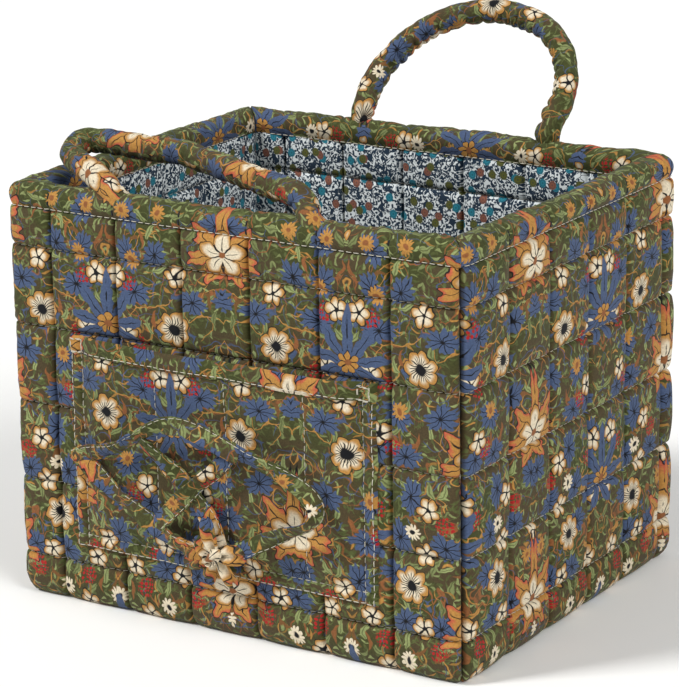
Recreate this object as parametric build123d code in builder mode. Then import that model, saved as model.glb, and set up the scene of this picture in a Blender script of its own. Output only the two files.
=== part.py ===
from build123d import *
import math
import os

# Sewing basket: a free-standing box bag of quilted printed cotton, stiffened inside, lined,
# bound round the rim, with two padded loop handles and a tied patch pocket on the front.
# Millimetres. +Z is up, the front faces -Y, and the origin is the middle of the base, on the
# surface that the basket stands on.

# Overall size
basket_width = 300.0
basket_depth = 245.0
basket_height = 245.0
corner_radius = 7.0
least_corner_radius = 0.8

# Wall, from the outside inwards: quilted shell, stiffener, handle tabs, quilted lining
panel_thickness = 4.0
stiffener_thickness = 4.0
lining_thickness = 3.0
tab_thickness = 1.2
layer_clearance = 0.3
base_edge_radius = 3.5

# Rim
rim_band_height = 11.0
rim_facing_depth = 12.0
rim_facing_thickness = 1.5
rim_cap_thickness = 4.7
rim_edge_radius = 6.0
rim_wadding_height = 4.3

# Handles
handle_diameter = 15.0
handle_cover_thickness = 1.2
handle_filling_clearance = 0.3
handle_foot_spacing = 130.0
handle_foot_inset = 5.0
handle_seat_gap = 0.3
handle_stitch_hole_diameter = 4.0
front_handle_centre = -14.0
front_handle_lean = 80.0
front_handle_height = 54.0
front_handle_slump = 60.0
back_handle_centre = 3.5
back_handle_lean = 46.0
back_handle_height = 85.0
tab_width = 14.0
tab_length = 36.0

# Pocket
pocket_width = 204.0
pocket_centre = -4.0
pocket_bottom = 37.0
pocket_top = 163.5
pocket_panel_thickness = 3.5
pocket_slack = 5.0
pocket_turning_width = 8.0
pocket_hem_height = 9.0
pocket_hem_proud = 0.6
bar_tack_size = 8.0
bar_tack_inset = 6.0
bar_tack_thickness = 0.6

# Tie, laid out on the pocket from its middle
ribbon_width = 12.0
ribbon_thickness = 1.6
knot_width = 30.0
knot_height = 25.0
knot_thickness = 6.0
knot_edge_radius = 2.4
tie_middle = (pocket_centre, 91.0)

# Levels and insets that follow from the sizes above
stiffener_inset = panel_thickness + layer_clearance
tab_inset = stiffener_inset + stiffener_thickness + layer_clearance
base_lining_inset = tab_inset
lining_inset = tab_inset + tab_thickness + layer_clearance
facing_inset = lining_inset + lining_thickness + layer_clearance
wall_thickness = facing_inset + rim_facing_thickness

panel_bottom = panel_thickness
panel_top = basket_height - rim_band_height
board_top = panel_thickness + stiffener_thickness
base_lining_top = board_top + lining_thickness
cavity_top = basket_height - rim_cap_thickness
layers_top = cavity_top - rim_wadding_height
facing_bottom = basket_height - rim_facing_depth

handle_radius = handle_diameter / 2
filling_radius = handle_radius - handle_cover_thickness - handle_filling_clearance
hinge_height = basket_height + handle_radius + handle_seat_gap
hinge_offset = basket_depth / 2 - handle_foot_inset
half_foot_spacing = handle_foot_spacing / 2

front_face = -basket_depth / 2
pocket_back = front_face - pocket_slack
pocket_face = pocket_back - pocket_panel_thickness
hem_face = pocket_face - pocket_hem_proud
pocket_left = pocket_centre - pocket_width / 2
pocket_right = pocket_centre + pocket_width / 2
hem_bottom = pocket_top - pocket_hem_height

SIDES = ("front", "back", "left", "right")

os.makedirs("parts", exist_ok=True)


def save(part, name):
    """Labels a finished piece and writes it to its own file."""
    part.label = name
    export_step(part, f"parts/{name}.step")


def footprint(inset, mode=Mode.ADD):
    """The basket's rounded outline, drawn in by an inset, in the current sketch."""
    radius = max(corner_radius - inset, least_corner_radius)
    RectangleRounded(basket_width - 2 * inset, basket_depth - 2 * inset, radius, mode=mode)


def side_wedge(side):
    """The part of the plan that belongs to one side, mitred at the corners."""
    x = basket_width / 2 + corner_radius
    y = basket_depth / 2 + corner_radius
    cut = wall_thickness + 2 * corner_radius
    corners = {
        "front": [(-x, -y), (x, -y), (x - cut, -y + cut), (-x + cut, -y + cut)],
        "back": [(x, y), (-x, y), (-x + cut, y - cut), (x - cut, y - cut)],
        "left": [(-x, y), (-x, -y), (-x + cut, -y + cut), (-x + cut, y - cut)],
        "right": [(x, -y), (x, y), (x - cut, y - cut), (x - cut, -y + cut)],
    }
    Polygon(*corners[side], align=None, mode=Mode.INTERSECT)


def side_layer(side, inset, thickness, bottom, top):
    """One side of one layer of the wall, between two heights."""
    with BuildPart() as layer:
        with BuildSketch(Plane.XY.offset(bottom)):
            footprint(inset)
            footprint(inset + thickness, mode=Mode.SUBTRACT)
            side_wedge(side)
        extrude(amount=top - bottom)
    return layer.part


def base_layer(inset, thickness, bottom):
    """One flat layer of the base."""
    with BuildPart() as layer:
        with BuildSketch(Plane.XY.offset(bottom)):
            footprint(inset)
        extrude(amount=thickness)
    return layer.part


def make_base_panel():
    """The quilted outer base, with its lower edge rounded."""
    with BuildPart() as base:
        with BuildSketch():
            footprint(0)
        extrude(amount=panel_thickness)
        fillet(base.faces().sort_by(Axis.Z)[0].edges(), base_edge_radius)
    return base.part


def make_rim_wadding():
    """The strip of folded wadding that pads the rim, over the layers of the wall."""
    with BuildPart() as wadding:
        with BuildSketch(Plane.XY.offset(layers_top)):
            footprint(stiffener_inset)
            footprint(lining_inset + lining_thickness, mode=Mode.SUBTRACT)
        extrude(amount=rim_wadding_height)
    return wadding.part


def make_rim_binding():
    """The padded rim: outer band, rounded cap and the facing turned down inside."""
    with BuildPart() as rim:
        with BuildSketch(Plane.XY.offset(panel_top)):
            footprint(0)
            footprint(wall_thickness, mode=Mode.SUBTRACT)
        extrude(amount=rim_band_height)
        fillet(rim.faces().sort_by(Axis.Z)[-1].edges(), rim_edge_radius)
        with BuildSketch(Plane.XY.offset(facing_bottom)):
            footprint(facing_inset)
            footprint(wall_thickness, mode=Mode.SUBTRACT)
        extrude(amount=rim_facing_depth - rim_cap_thickness)
        with BuildSketch(Plane.XY.offset(facing_bottom)):
            footprint(panel_thickness)
            footprint(facing_inset, mode=Mode.SUBTRACT)
        extrude(amount=cavity_top - facing_bottom, mode=Mode.SUBTRACT)
    return rim.part


def make_tabs(side, centre):
    """The two flat ends of one handle, sewn down between stiffener and lining."""
    outside = basket_depth / 2 - tab_inset
    y = (outside - tab_thickness / 2) * (-1 if side == "front" else 1)
    with BuildPart() as tabs:
        with BuildSketch(Plane.XY.offset(layers_top - tab_length)):
            with Locations((centre - half_foot_spacing, y), (centre + half_foot_spacing, y)):
                Rectangle(tab_width, tab_thickness)
        extrude(amount=tab_length)
    return tabs.part


def handle_plane(side, lean):
    """The plane that a handle lies in: x along the rim, y up the handle from its feet."""
    outward = -1 if side == "front" else 1
    a = math.radians(lean)
    origin = (0, outward * hinge_offset, hinge_height)
    return Plane(origin=origin, x_dir=(1, 0, 0), z_dir=(0, -math.cos(a), math.sin(a)))


def front_handle_route():
    """The front handle's middle line: it has slumped towards the left."""
    right = front_handle_centre + half_foot_spacing
    left = front_handle_centre - half_foot_spacing
    rise = front_handle_height
    points = [
        (right, 0),
        (right - 0.15 * rise, 0.26 * rise),
        (left + 0.26 * rise, 0.96 * rise),
        (left - front_handle_slump, rise),
        (left - 0.83 * front_handle_slump, 0.52 * rise),
        (left, 0),
    ]
    radii = [20.0, 60.0, 13.0, 18.0]
    return points, radii


def back_handle_route():
    """The back handle's middle line: an even loop, narrowing towards its crown."""
    foot = half_foot_spacing
    rise = back_handle_height
    half = [(foot, 0), (1.025 * foot, 0.43 * rise), (0.64 * foot, 0.86 * rise)]
    left = [(back_handle_centre - x, y) for x, y in half]
    right = [(back_handle_centre + x, y) for x, y in reversed(half)]
    points = left + [(back_handle_centre, rise)] + right
    radii = [60.0, 62.0, 64.0, 62.0, 60.0]
    return points, radii


def round_loop(plane, route, radius):
    """A round bar along a handle's middle line, with ball ends on the hinge line."""
    points, radii = route
    with BuildPart() as loop:
        with BuildLine(plane) as line:
            FilletPolyline(*points, radius=radii)
        with BuildSketch(Plane(origin=line.line @ 0, z_dir=line.line % 0)):
            Circle(radius)
        sweep()
        with Locations(line.line @ 0, line.line @ 1):
            Sphere(radius)
    return loop.part


def stitch_holes(plane, route):
    """The openings at the cover's two feet, where the filling's ends are sewn to the tabs."""
    points, radii = route
    with BuildPart() as holes:
        with BuildLine(plane) as line:
            FilletPolyline(*points, radius=radii)
        feet = [
            Plane(origin=line.line @ 0, z_dir=-(line.line % 0)),
            Plane(origin=line.line @ 1, z_dir=line.line % 1),
        ]
        with BuildSketch(*feet):
            Circle(handle_stitch_hole_diameter / 2)
        extrude(amount=handle_diameter)
    return holes.part


def make_handle_cover(plane, route):
    """The printed sleeve of a handle."""
    hollow = round_loop(plane, route, handle_radius - handle_cover_thickness)
    holes = stitch_holes(plane, route)
    with BuildPart() as cover:
        add(round_loop(plane, route, handle_radius))
        add(hollow, mode=Mode.SUBTRACT)
        add(holes, mode=Mode.SUBTRACT)
    return cover.part


def make_pocket_panel():
    """The quilted face of the pocket, below its hem."""
    with BuildPart() as panel:
        with BuildSketch(Plane.XZ.offset(-pocket_back)):
            with Locations(((pocket_left + pocket_right) / 2, (pocket_bottom + hem_bottom) / 2)):
                Rectangle(pocket_width, hem_bottom - pocket_bottom)
        extrude(amount=pocket_panel_thickness)
    return panel.part


def make_pocket_hem():
    """The hem turned over the pocket's mouth, a little thicker than the panel."""
    with BuildPart() as hem:
        with BuildSketch(Plane.XZ.offset(-pocket_back)):
            with Locations((pocket_centre, (hem_bottom + pocket_top) / 2)):
                Rectangle(pocket_width, pocket_hem_height)
        extrude(amount=pocket_panel_thickness + pocket_hem_proud)
        top_edges = hem.faces().sort_by(Axis.Z)[-1].edges().filter_by(Axis.X)
        fillet(top_edges, pocket_panel_thickness / 3)
    return hem.part


def make_turning(left, right, bottom, top):
    """A folded seam allowance that holds one edge of the pocket off the front panel."""
    with BuildPart() as turning:
        with BuildSketch(Plane.XZ.offset(-front_face)):
            with Locations(((left + right) / 2, (bottom + top) / 2)):
                Rectangle(right - left, top - bottom)
        extrude(amount=pocket_slack)
    return turning.part


def make_bar_tacks():
    """The square stitched reinforcements at the two ends of the pocket's mouth."""
    z = (hem_bottom + pocket_top) / 2
    with BuildPart() as tacks:
        with BuildSketch(Plane.XZ.offset(-hem_face)):
            with Locations((pocket_left + bar_tack_inset, z), (pocket_right - bar_tack_inset, z)):
                Rectangle(bar_tack_size, bar_tack_size)
        extrude(amount=bar_tack_thickness)
    return tacks.part


def make_ribbon(*runs, layer=0):
    """A flat ribbon of one or more runs, each a list of points from the tie's middle."""
    x, z = tie_middle
    stand_off = -pocket_face + layer * ribbon_thickness
    with BuildPart() as ribbon:
        with BuildSketch(Plane.XZ.offset(stand_off)):
            for run in runs:
                with BuildLine(mode=Mode.PRIVATE) as middle:
                    Polyline(*[(x + across, z + up) for across, up in run])
                trace(middle.line, line_width=ribbon_width)
        extrude(amount=ribbon_thickness)
    return ribbon.part


def make_knot():
    """The gathered knot of the tie, a soft cushion against the pocket."""
    x, z = tie_middle
    with BuildPart() as knot:
        with BuildSketch(Plane.XZ.offset(-pocket_face)):
            with Locations((x + knot_place[0], z + knot_place[1])):
                Ellipse(knot_width / 2, knot_height / 2)
        extrude(amount=knot_thickness)
        fillet(knot.faces().sort_by(Axis.Y)[0].edges(), knot_edge_radius)
    return knot.part


# Ribbon runs, across and up from the tie's middle
knot_place = (8.0, -36.0)
left_tail_run = [(-94, 6), (-66, -13), (-48, -23), (-12, -43)]
top_fold_run = [(-67, 7), (-39, 25), (-15, 38), (9, 30)]
right_loop_upper_run = [(17, 27), (42, 20), (72, 8)]
right_loop_lower_run = [(66, 4), (52, -6), (38, -18), (27, -25)]
cross_under_run = [(-35, 13), (-9, 0), (3, -17)]
cross_over_run = [(10, 17), (-9, 0), (-30, -22)]

for side in SIDES:
    panel = side_layer(side, 0, panel_thickness, panel_bottom, panel_top)
    save(panel, f"{side}_panel")
    board = side_layer(side, stiffener_inset, stiffener_thickness, board_top, layers_top)
    save(board, f"{side}_stiffener")
    lining = side_layer(side, lining_inset, lining_thickness, base_lining_top, layers_top)
    save(lining, f"{side}_lining")

save(make_base_panel(), "base_panel")
save(base_layer(stiffener_inset, stiffener_thickness, panel_thickness), "base_board")
save(base_layer(base_lining_inset, lining_thickness, board_top), "base_lining")
save(make_rim_wadding(), "rim_wadding")
save(make_rim_binding(), "rim_binding")

front_plane = handle_plane("front", front_handle_lean)
back_plane = handle_plane("back", back_handle_lean)
save(make_tabs("front", front_handle_centre), "front_handle_tabs")
save(make_tabs("back", back_handle_centre), "back_handle_tabs")
save(make_handle_cover(front_plane, front_handle_route()), "front_handle_cover")
save(round_loop(front_plane, front_handle_route(), filling_radius), "front_handle_filling")
save(make_handle_cover(back_plane, back_handle_route()), "back_handle_cover")
save(round_loop(back_plane, back_handle_route(), filling_radius), "back_handle_filling")

inner_left = pocket_left + pocket_turning_width
inner_right = pocket_right - pocket_turning_width
inner_bottom = pocket_bottom + pocket_turning_width
save(make_pocket_panel(), "pocket_panel")
save(make_pocket_hem(), "pocket_hem")
save(make_turning(pocket_left, inner_left, pocket_bottom, pocket_top), "pocket_left_turning")
save(make_turning(inner_right, pocket_right, pocket_bottom, pocket_top), "pocket_right_turning")
save(make_turning(inner_left, inner_right, pocket_bottom, inner_bottom), "pocket_bottom_turning")
save(make_bar_tacks(), "pocket_bar_tacks")

save(make_ribbon(left_tail_run), "tie_left_tail")
save(make_ribbon(top_fold_run), "tie_top_fold")
save(make_ribbon(right_loop_upper_run, right_loop_lower_run), "tie_right_loop")
save(make_ribbon(cross_under_run), "tie_cross_under")
save(make_ribbon(cross_over_run, layer=1), "tie_cross_over")
save(make_knot(), "tie_knot")
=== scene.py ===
import math
from collections import namedtuple

import bpy
import numpy as np
from bpy.props import FloatProperty, FloatVectorProperty, IntProperty, PointerProperty
from bpy.types import Operator, Panel, PropertyGroup
from mathutils import Matrix, Vector


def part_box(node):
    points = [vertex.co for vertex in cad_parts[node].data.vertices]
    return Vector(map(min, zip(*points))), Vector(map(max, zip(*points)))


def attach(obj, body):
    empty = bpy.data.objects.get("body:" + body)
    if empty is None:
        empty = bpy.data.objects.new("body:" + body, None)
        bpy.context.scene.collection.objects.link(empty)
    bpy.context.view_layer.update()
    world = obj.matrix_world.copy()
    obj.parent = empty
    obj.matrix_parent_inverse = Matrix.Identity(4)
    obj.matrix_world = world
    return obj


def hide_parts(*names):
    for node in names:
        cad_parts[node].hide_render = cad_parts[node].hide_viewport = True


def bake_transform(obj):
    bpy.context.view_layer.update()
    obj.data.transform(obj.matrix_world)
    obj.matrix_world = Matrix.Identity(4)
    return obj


bl_info = {
    "name": "Sewing basket",
    "version": (1, 0, 0),
    "blender": (4, 5, 0),
    "location": "3D View > Sidebar > Basket",
    "description": "Quilted cotton sewing basket with loop handles and a tied patch pocket",
    "category": "Add Mesh",
}

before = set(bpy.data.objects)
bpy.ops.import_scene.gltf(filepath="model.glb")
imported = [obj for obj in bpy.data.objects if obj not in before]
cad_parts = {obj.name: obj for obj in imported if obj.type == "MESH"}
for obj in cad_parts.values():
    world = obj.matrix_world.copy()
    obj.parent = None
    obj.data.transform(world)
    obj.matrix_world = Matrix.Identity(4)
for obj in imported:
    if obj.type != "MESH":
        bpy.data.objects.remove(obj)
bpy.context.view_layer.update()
MM = 0.001


def linear(colour):
    """An sRGB hex colour as linear red, green and blue."""
    channels = [int(colour[i : i + 2], 16) / 255 for i in (1, 3, 5)]
    return tuple(c / 12.92 if c <= 0.04045 else ((c + 0.055) / 1.055) ** 2.4 for c in channels)


def box_mm(*nodes):
    """Lowest and highest corner of some CAD nodes together, in millimetres."""
    boxes = np.array([[list(corner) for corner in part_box(node)] for node in nodes]) / MM
    return boxes[:, 0].min(0), boxes[:, 1].max(0)


# Places, in millimetres, from the frame
HALF_WIDTH, HALF_DEPTH, RIM_SEAM = box_mm(
    "front_panel", "back_panel", "left_panel", "right_panel")[1]
RIM_TOP = box_mm("rim_binding")[1][2]
LINING_INSET = HALF_WIDTH - box_mm("right_lining")[0][0]
FLOOR_TOP = box_mm("base_lining")[1][2]
POCKET_LOW, POCKET_HIGH = box_mm("pocket_panel", "pocket_hem")
POCKET_LEFT, POCKET_BOTTOM = POCKET_LOW[[0, 2]]
POCKET_RIGHT, POCKET_TOP = POCKET_HIGH[[0, 2]]
POCKET_FACE = -HALF_DEPTH - box_mm("pocket_panel")[0][1]
HEM_BOTTOM = box_mm("pocket_hem")[0][2]

# Shape of the shell, in millimetres: the roundness of its corners outside and inside, and
# the foot, where a wall turns under: how high it begins, how far it runs in, and its cloth
CORNER = 7.0
INNER_CORNER = 1.6
FOOT_RISE = 12.0
FOOT_INSET = 8.0
FOOT_LENGTH = 16.0
# Each side's way along, seen from outside, and its way out
SIDES = {
    "front": ((1, 0), (0, -1)),
    "right": ((0, 1), (1, 0)),
    "back": ((-1, 0), (0, 1)),
    "left": ((0, -1), (-1, 0)),
}
# Upright seams of each side, measured along it from its middle, and the heights of the cross
# seams, which all four sides share
COLUMNS = {
    "front": (-120, -75, -30, 15, 60, 105),
    "right": (-74, -29, 16, 61, 106),
    "back": (-105, -60, -15, 30, 75, 120),
    "left": (-106, -61, -16, 29, 74),
}
ROWS = (25.2, 71.7, 118.2, 164.7, 211.2)
# Depth and half width of the groove that each kind of seam pulls into the padding
ROW_GROOVE = (1.6, 1.0)
COLUMN_GROOVE = (2.8, 1.1)
CORNER_GROOVE = (1.7, 1.9)
RIM_GROOVE = (2.2, 1.3)
RIM_CORNER_GROOVE = (1.8, 2.2)
# Puckers beside a seam: their length along it, and how far from it they die away
PUCKER_LENGTH = 7.5
PUCKER_REACH = 6.5
# Each next side is cut this far along the printed cloth, so that no two look alike
NEXT_CUT = 371.0


def length_property(name, description, default, low, high):
    """A length that can be changed, given in millimetres."""
    return FloatProperty(name=name, description=description, default=default * MM,
                         min=low * MM, max=high * MM, unit="LENGTH")


def colour_property(name, description, colour):
    """A colour that can be changed, given as sRGB hex."""
    return FloatVectorProperty(name=name, description=description, subtype="COLOR",
                               default=linear(colour))


class BasketSizes(PropertyGroup):
    """Sizes of the quilting and the sewing."""

    quilt_rise: length_property(
        "Quilt rise", "How far a quilted square stands out from its seams", 3.5, 0, 6)
    lining_rise: length_property(
        "Lining rise", "How far a quilted square of the lining stands out", 2.0, 0, 4)
    cloth_thickness: length_property(
        "Cloth thickness", "Thickness of the cloth with its thin wadding", 1.0, 0.3, 2)
    stitch_length: length_property(
        "Stitch length", "Length of one visible stitch", 3.5, 1, 8)
    stitch_pitch: length_property(
        "Stitch pitch", "Distance from one stitch to the next", 4.7, 2, 10)
    thread_width: length_property(
        "Thread width", "Thickness of the sewing thread", 0.5, 0.1, 1)
    rows_per_cell: IntProperty(
        name="Steps in a square", description="Mesh steps across one quilted square",
        default=22, min=8, max=40)


class BasketColours(PropertyGroup):
    """Colours of the printed cloth, the lining and the thread."""

    ground: colour_property("Ground", "Olive brown ground of the print", "#4c4028")
    moss: colour_property("Moss", "Green patches of the ground", "#40441e")
    leaf: colour_property("Leaf", "Light green leaves", "#96a168")
    sprig: colour_property("Sprig", "Darker green sprigs", "#586034")
    blue: colour_property("Blue", "Blue leaves and blooms", "#495979")
    ink: colour_property("Ink", "Dark outlines", "#0c0d12")
    cream: colour_property("Cream", "Pale petals", "#e6d8bc")
    gold: colour_property("Gold", "Golden petals and vines", "#b98642")
    rust: colour_property("Rust", "Rust stems", "#8f5932")
    coral: colour_property("Coral", "Coral petals", "#bf5f42")
    berry: colour_property("Berry", "Red berries", "#ab1f20")
    lining_white: colour_property("Lining white", "Ground of the lining", "#dde3e3")
    lining_navy: colour_property("Lining navy", "Scrolls of the lining", "#1c2f41")
    lining_teal: colour_property("Lining teal", "Teal rosettes", "#237a8c")
    lining_rose: colour_property("Lining rose", "Brown rose rosettes", "#85533f")
    lining_olive: colour_property("Lining olive", "Olive rosettes", "#5b5c1f")
    light_thread: colour_property("Light thread", "Thread of the cross rows", "#cfc9b8")
    # the near-black of the upright rows is partly the thread's own colour and partly painted seam
    # shadow, since those rows are sewn far thicker than real thread
    dark_thread: colour_property("Dark thread", "Thread of the upright rows", "#1d1e22")


class BasketSettings(PropertyGroup):
    """Everything about the basket that can be changed."""

    sizes: PointerProperty(type=BasketSizes)
    colours: PointerProperty(type=BasketColours)


# ---------------------------------------------------------------- shapes of cloth


def ripple(across, along, length, seed):
    """A gentle unevenness from about -1 to 1, always the same for a seed.

    length is the usual distance from one rise to the next, in millimetres."""
    rng = np.random.default_rng(seed)
    total = 0.0
    for _ in range(7):
        turn, phase = rng.uniform(0, 2 * math.pi, 2)
        wave = length * rng.uniform(0.7, 1.7)
        way = across * math.cos(turn) + along * math.sin(turn)
        total = total + np.sin(2 * math.pi * way / wave + phase)
    return total / 3.2


def eased(share):
    """A share from 0 to 1 that starts and ends gently."""
    return share * share * (3 - 2 * share)


def groove(distance, seam):
    """How deep the groove of a seam is at a distance from it."""
    depth, half_width = seam
    return depth * np.exp(-(distance / half_width) ** 2)


def steps(lines, per_cell, crowd=0.72):
    """Places across a quilt, crowded towards its lines of stitches.

    A cell of 40 mm or more gets all its steps, and a narrower one fewer."""
    places = []
    for low, high in zip(lines, lines[1:]):
        count = max(5, round(per_cell * min(1.0, (high - low) / 40)))
        share = np.arange(count) / count
        crowded = share - crowd * np.sin(2 * math.pi * share) / (2 * math.pi)
        places.extend(low + (high - low) * crowded)
    return np.array(places + [lines[-1]], float)


def between(at, lines):
    """0 on a line of stitches, rising to 1 midway between two, and the cell's number."""
    lines = np.asarray(lines, float)
    cell = np.clip(np.searchsorted(lines, at, side="right") - 1, 0, len(lines) - 2)
    share = (at - lines[cell]) / (lines[cell + 1] - lines[cell])
    return np.sqrt(np.clip(4 * share * (1 - share), 0, 1)), cell


def nearest(at, lines):
    """How far each place is from its nearest line of stitches."""
    return np.min([np.abs(at - line) for line in lines], axis=0)


def quilting(across, along, columns, rows, rise, seed):
    """The height of quilted cloth over the plane of its seams.

    Each square is a soft pillow, no two quite as full, with puckers that cross its seams, a
    broad unevenness all over, and the grooves of the stitches."""
    fill_across, column = between(across, columns)
    fill_along, row = between(along, rows)
    from_row, from_column = nearest(along, rows), nearest(across, columns)
    loft = 0.92 + 0.12 * np.sin(column * 12.9 + row * 7.3 + seed)
    height = rise * loft * (fill_across * fill_along) ** 0.66
    near_row, near_column = np.exp(-from_row / PUCKER_REACH), np.exp(-from_column / PUCKER_REACH)
    height = height + 0.34 * near_row * ripple(across, along * 0.22, PUCKER_LENGTH, seed)
    height = height + 0.30 * near_column * ripple(across * 0.22, along, PUCKER_LENGTH, seed + 1)
    height = height + 0.28 * ripple(across, along, 26, seed + 2)
    return height - groove(from_row, ROW_GROOVE) - groove(from_column, COLUMN_GROOVE)


def round_basket(side, across, inset):
    """Plan position of cloth round the basket, with its corners rounded.

    across is measured along the outline from the side's middle, and inset inwards from it."""
    along, outward = SIDES[side]
    half, reach = HALF_WIDTH, HALF_DEPTH
    if side in ("left", "right"):
        half, reach = HALF_DEPTH, HALF_WIDTH
    straight = half - CORNER
    size = np.abs(across)
    turn = np.clip((size - straight) / CORNER, 0, math.pi / 4)
    radius = np.maximum(CORNER - inset, INNER_CORNER)
    run = np.minimum(size / straight, 1) * (half - inset - radius)
    p = np.sign(across) * (run + radius * np.sin(turn))
    q = reach - inset - radius + radius * np.cos(turn)
    return p * along[0] + q * outward[0], p * along[1] + q * outward[1]


def side_length(side):
    """Half the length of a side along the outline, from its middle to the corner seam."""
    half = HALF_WIDTH if side in ("front", "back") else HALF_DEPTH
    return half - CORNER + CORNER * math.pi / 4


def cloth(name, points, lay, thickness=None, wrap=False, flip=False):
    """A piece of cloth from a grid of points in millimetres, with its flat lay as a UV map.

    The lay is in millimetres of cloth and becomes the map "cloth", in metres."""
    rows, cols = points.shape[:2]
    index = np.arange(rows * cols).reshape(rows, cols)
    corners = [index[:-1, :-1], index[:-1, 1:], index[1:, 1:], index[1:, :-1]]
    faces = np.stack([c.ravel() for c in corners], axis=1)
    if flip:
        faces = faces[:, ::-1]
    mesh = bpy.data.meshes.new(name)
    mesh.from_pydata((points.reshape(-1, 3) * MM).tolist(), [], faces.tolist())
    uv = mesh.uv_layers.new(name="cloth")
    uv.data.foreach_set("uv", (lay.reshape(-1, 2)[faces.ravel()] * MM).ravel())
    mesh.polygons.foreach_set("use_smooth", np.ones(len(mesh.polygons), bool))
    piece = bpy.data.objects.new(name, mesh)
    bpy.context.scene.collection.objects.link(piece)
    only(piece)
    if wrap:
        bpy.ops.object.mode_set(mode="EDIT")
        bpy.ops.mesh.select_all(action="SELECT")
        bpy.ops.mesh.remove_doubles(threshold=1e-6)
        bpy.ops.object.mode_set(mode="OBJECT")
    if thickness:
        wall = piece.modifiers.new("thickness", "SOLIDIFY")
        wall.thickness, wall.offset, wall.use_even_offset = thickness, -1.0, False
        bpy.ops.object.modifier_apply(modifier=wall.name)
    return piece


def only(piece):
    """Selects one object and nothing else."""
    bpy.ops.object.select_all(action="DESELECT")
    piece.select_set(True)
    bpy.context.view_layer.objects.active = piece


def outward_normals(piece):
    """Turns a piece's faces outwards."""
    only(piece)
    bpy.ops.object.mode_set(mode="EDIT")
    bpy.ops.mesh.select_all(action="SELECT")
    bpy.ops.mesh.normals_make_consistent(inside=False)
    bpy.ops.object.mode_set(mode="OBJECT")


def close_ends(piece):
    """Closes the open ends of a tube and turns its faces outwards."""
    only(piece)
    bpy.ops.object.mode_set(mode="EDIT")
    bpy.ops.mesh.select_mode(type="EDGE")
    bpy.ops.mesh.select_all(action="DESELECT")
    bpy.ops.mesh.select_non_manifold()
    bpy.ops.mesh.fill_holes(sides=0)
    bpy.ops.mesh.select_mode(type="VERT")
    bpy.ops.object.mode_set(mode="OBJECT")
    outward_normals(piece)


def finish_piece(piece, material, slot, body, *nodes):
    """Gives a finished piece its material and its body, and hides the nodes it stands for. Its
    slot is not used.
    """
    piece.data.materials.clear()
    piece.data.materials.append(material)
    if body:
        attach(piece, body)
    if nodes:
        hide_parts(*nodes)
    return piece


def even_steps(points, step):
    """A line of points taken again at even steps."""
    way = length_along(points)
    at = np.linspace(0, way[-1], max(3, int(round(way[-1] / step)) + 1))
    return np.stack([np.interp(at, way, points[:, k]) for k in range(points.shape[1])], axis=1)


def eased_line(points, step, window):
    """A line through points at even steps, with its corners eased over a window."""
    line = even_steps(np.asarray(points, float), step)
    reach = max(1, int(round(window / step / 2)))
    for _ in range(3):
        padded = np.concatenate([[2 * line[0] - p for p in line[reach:0:-1]], line,
                                 [2 * line[-1] - p for p in line[-2:-reach - 2:-1]]])
        kernel = np.ones(2 * reach + 1) / (2 * reach + 1)
        line = np.stack([np.convolve(padded[:, k], kernel, "valid")
                         for k in range(line.shape[1])], axis=1)
    return even_steps(line, step)


def length_along(line):
    """How far along a line each of its points is."""
    return np.concatenate([[0], np.cumsum(np.linalg.norm(np.diff(line, axis=0), axis=1))])


# A stitch is a five-sided length of thread whose ends dive into the cloth: the share of its
# length, of its thickness, and its height over the cloth in millimetres, at each of four rings
STITCH = ((0.0, 0.45, -0.25), (0.16, 1.0, 0.12), (0.84, 1.0, 0.12), (1.0, 0.45, -0.25))
STITCH_SIDES = 5


def sew(name, runs, material, sizes, heavy=1.0):
    """Lines of stitches. A run is points on the cloth and the cloth's outward direction."""
    length, pitch = sizes.stitch_length / MM, sizes.stitch_pitch / MM
    radius = heavy * sizes.thread_width / MM / 2
    turns = np.arange(STITCH_SIDES) * 2 * math.pi / STITCH_SIDES
    ring = np.array([(math.cos(a), math.sin(a)) for a in turns])
    points, faces = [], []
    for line, normals in runs:
        way = length_along(line)
        for start in np.arange(0.4, way[-1] - length, pitch):
            base = len(points)
            at = [start + share * length for share, _, _ in STITCH]
            middle = np.stack([np.interp(at, way, line[:, k]) for k in range(3)], axis=1)
            up = np.array([np.interp(start + length / 2, way, normals[:, k]) for k in range(3)])
            up /= np.linalg.norm(up)
            ahead = middle[-1] - middle[0]
            ahead /= np.linalg.norm(ahead)
            side = np.cross(ahead, up)
            for centre, (_, width, lift) in zip(middle, STITCH):
                for c, s in ring:
                    points.append(centre + up * (lift + radius * width * s)
                                  + side * radius * width * c)
            last = base + STITCH_SIDES * (len(STITCH) - 1)
            for first in range(base, last, STITCH_SIDES):
                for j in range(STITCH_SIDES):
                    a, b = first + j, first + (j + 1) % STITCH_SIDES
                    faces.append((a, b, b + STITCH_SIDES, a + STITCH_SIDES))
            faces.append(tuple(base + j for j in reversed(range(STITCH_SIDES))))
            faces.append(tuple(last + j for j in range(STITCH_SIDES)))
    mesh = bpy.data.meshes.new(name)
    mesh.from_pydata((np.array(points) * MM).tolist(), [], faces)
    piece = bpy.data.objects.new(name, mesh)
    bpy.context.scene.collection.objects.link(piece)
    outward_normals(piece)
    bpy.ops.object.shade_smooth()
    return finish_piece(piece, material, "sewing_thread", "basket")


# ---------------------------------------------------------------- materials


def add_node(tree, kind, feeds=(), **settings):
    """Adds a node with its settings. Feeds are nodes, sockets or values for its inputs."""
    node = tree.nodes.new("ShaderNode" + kind)
    for key, value in settings.items():
        setattr(node, key, value)
    for key, feed in (feeds.items() if isinstance(feeds, dict) else enumerate(feeds)):
        if isinstance(feed, bpy.types.Node):
            feed = feed.outputs[0]
        if isinstance(feed, bpy.types.NodeSocket):
            tree.links.new(feed, node.inputs[key])
        elif feed is not None:
            socket = node.inputs[key]
            if socket.type == "RGBA" and len(feed) == 3:
                feed = (*feed, 1.0)
            socket.default_value = feed
    return node


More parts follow.
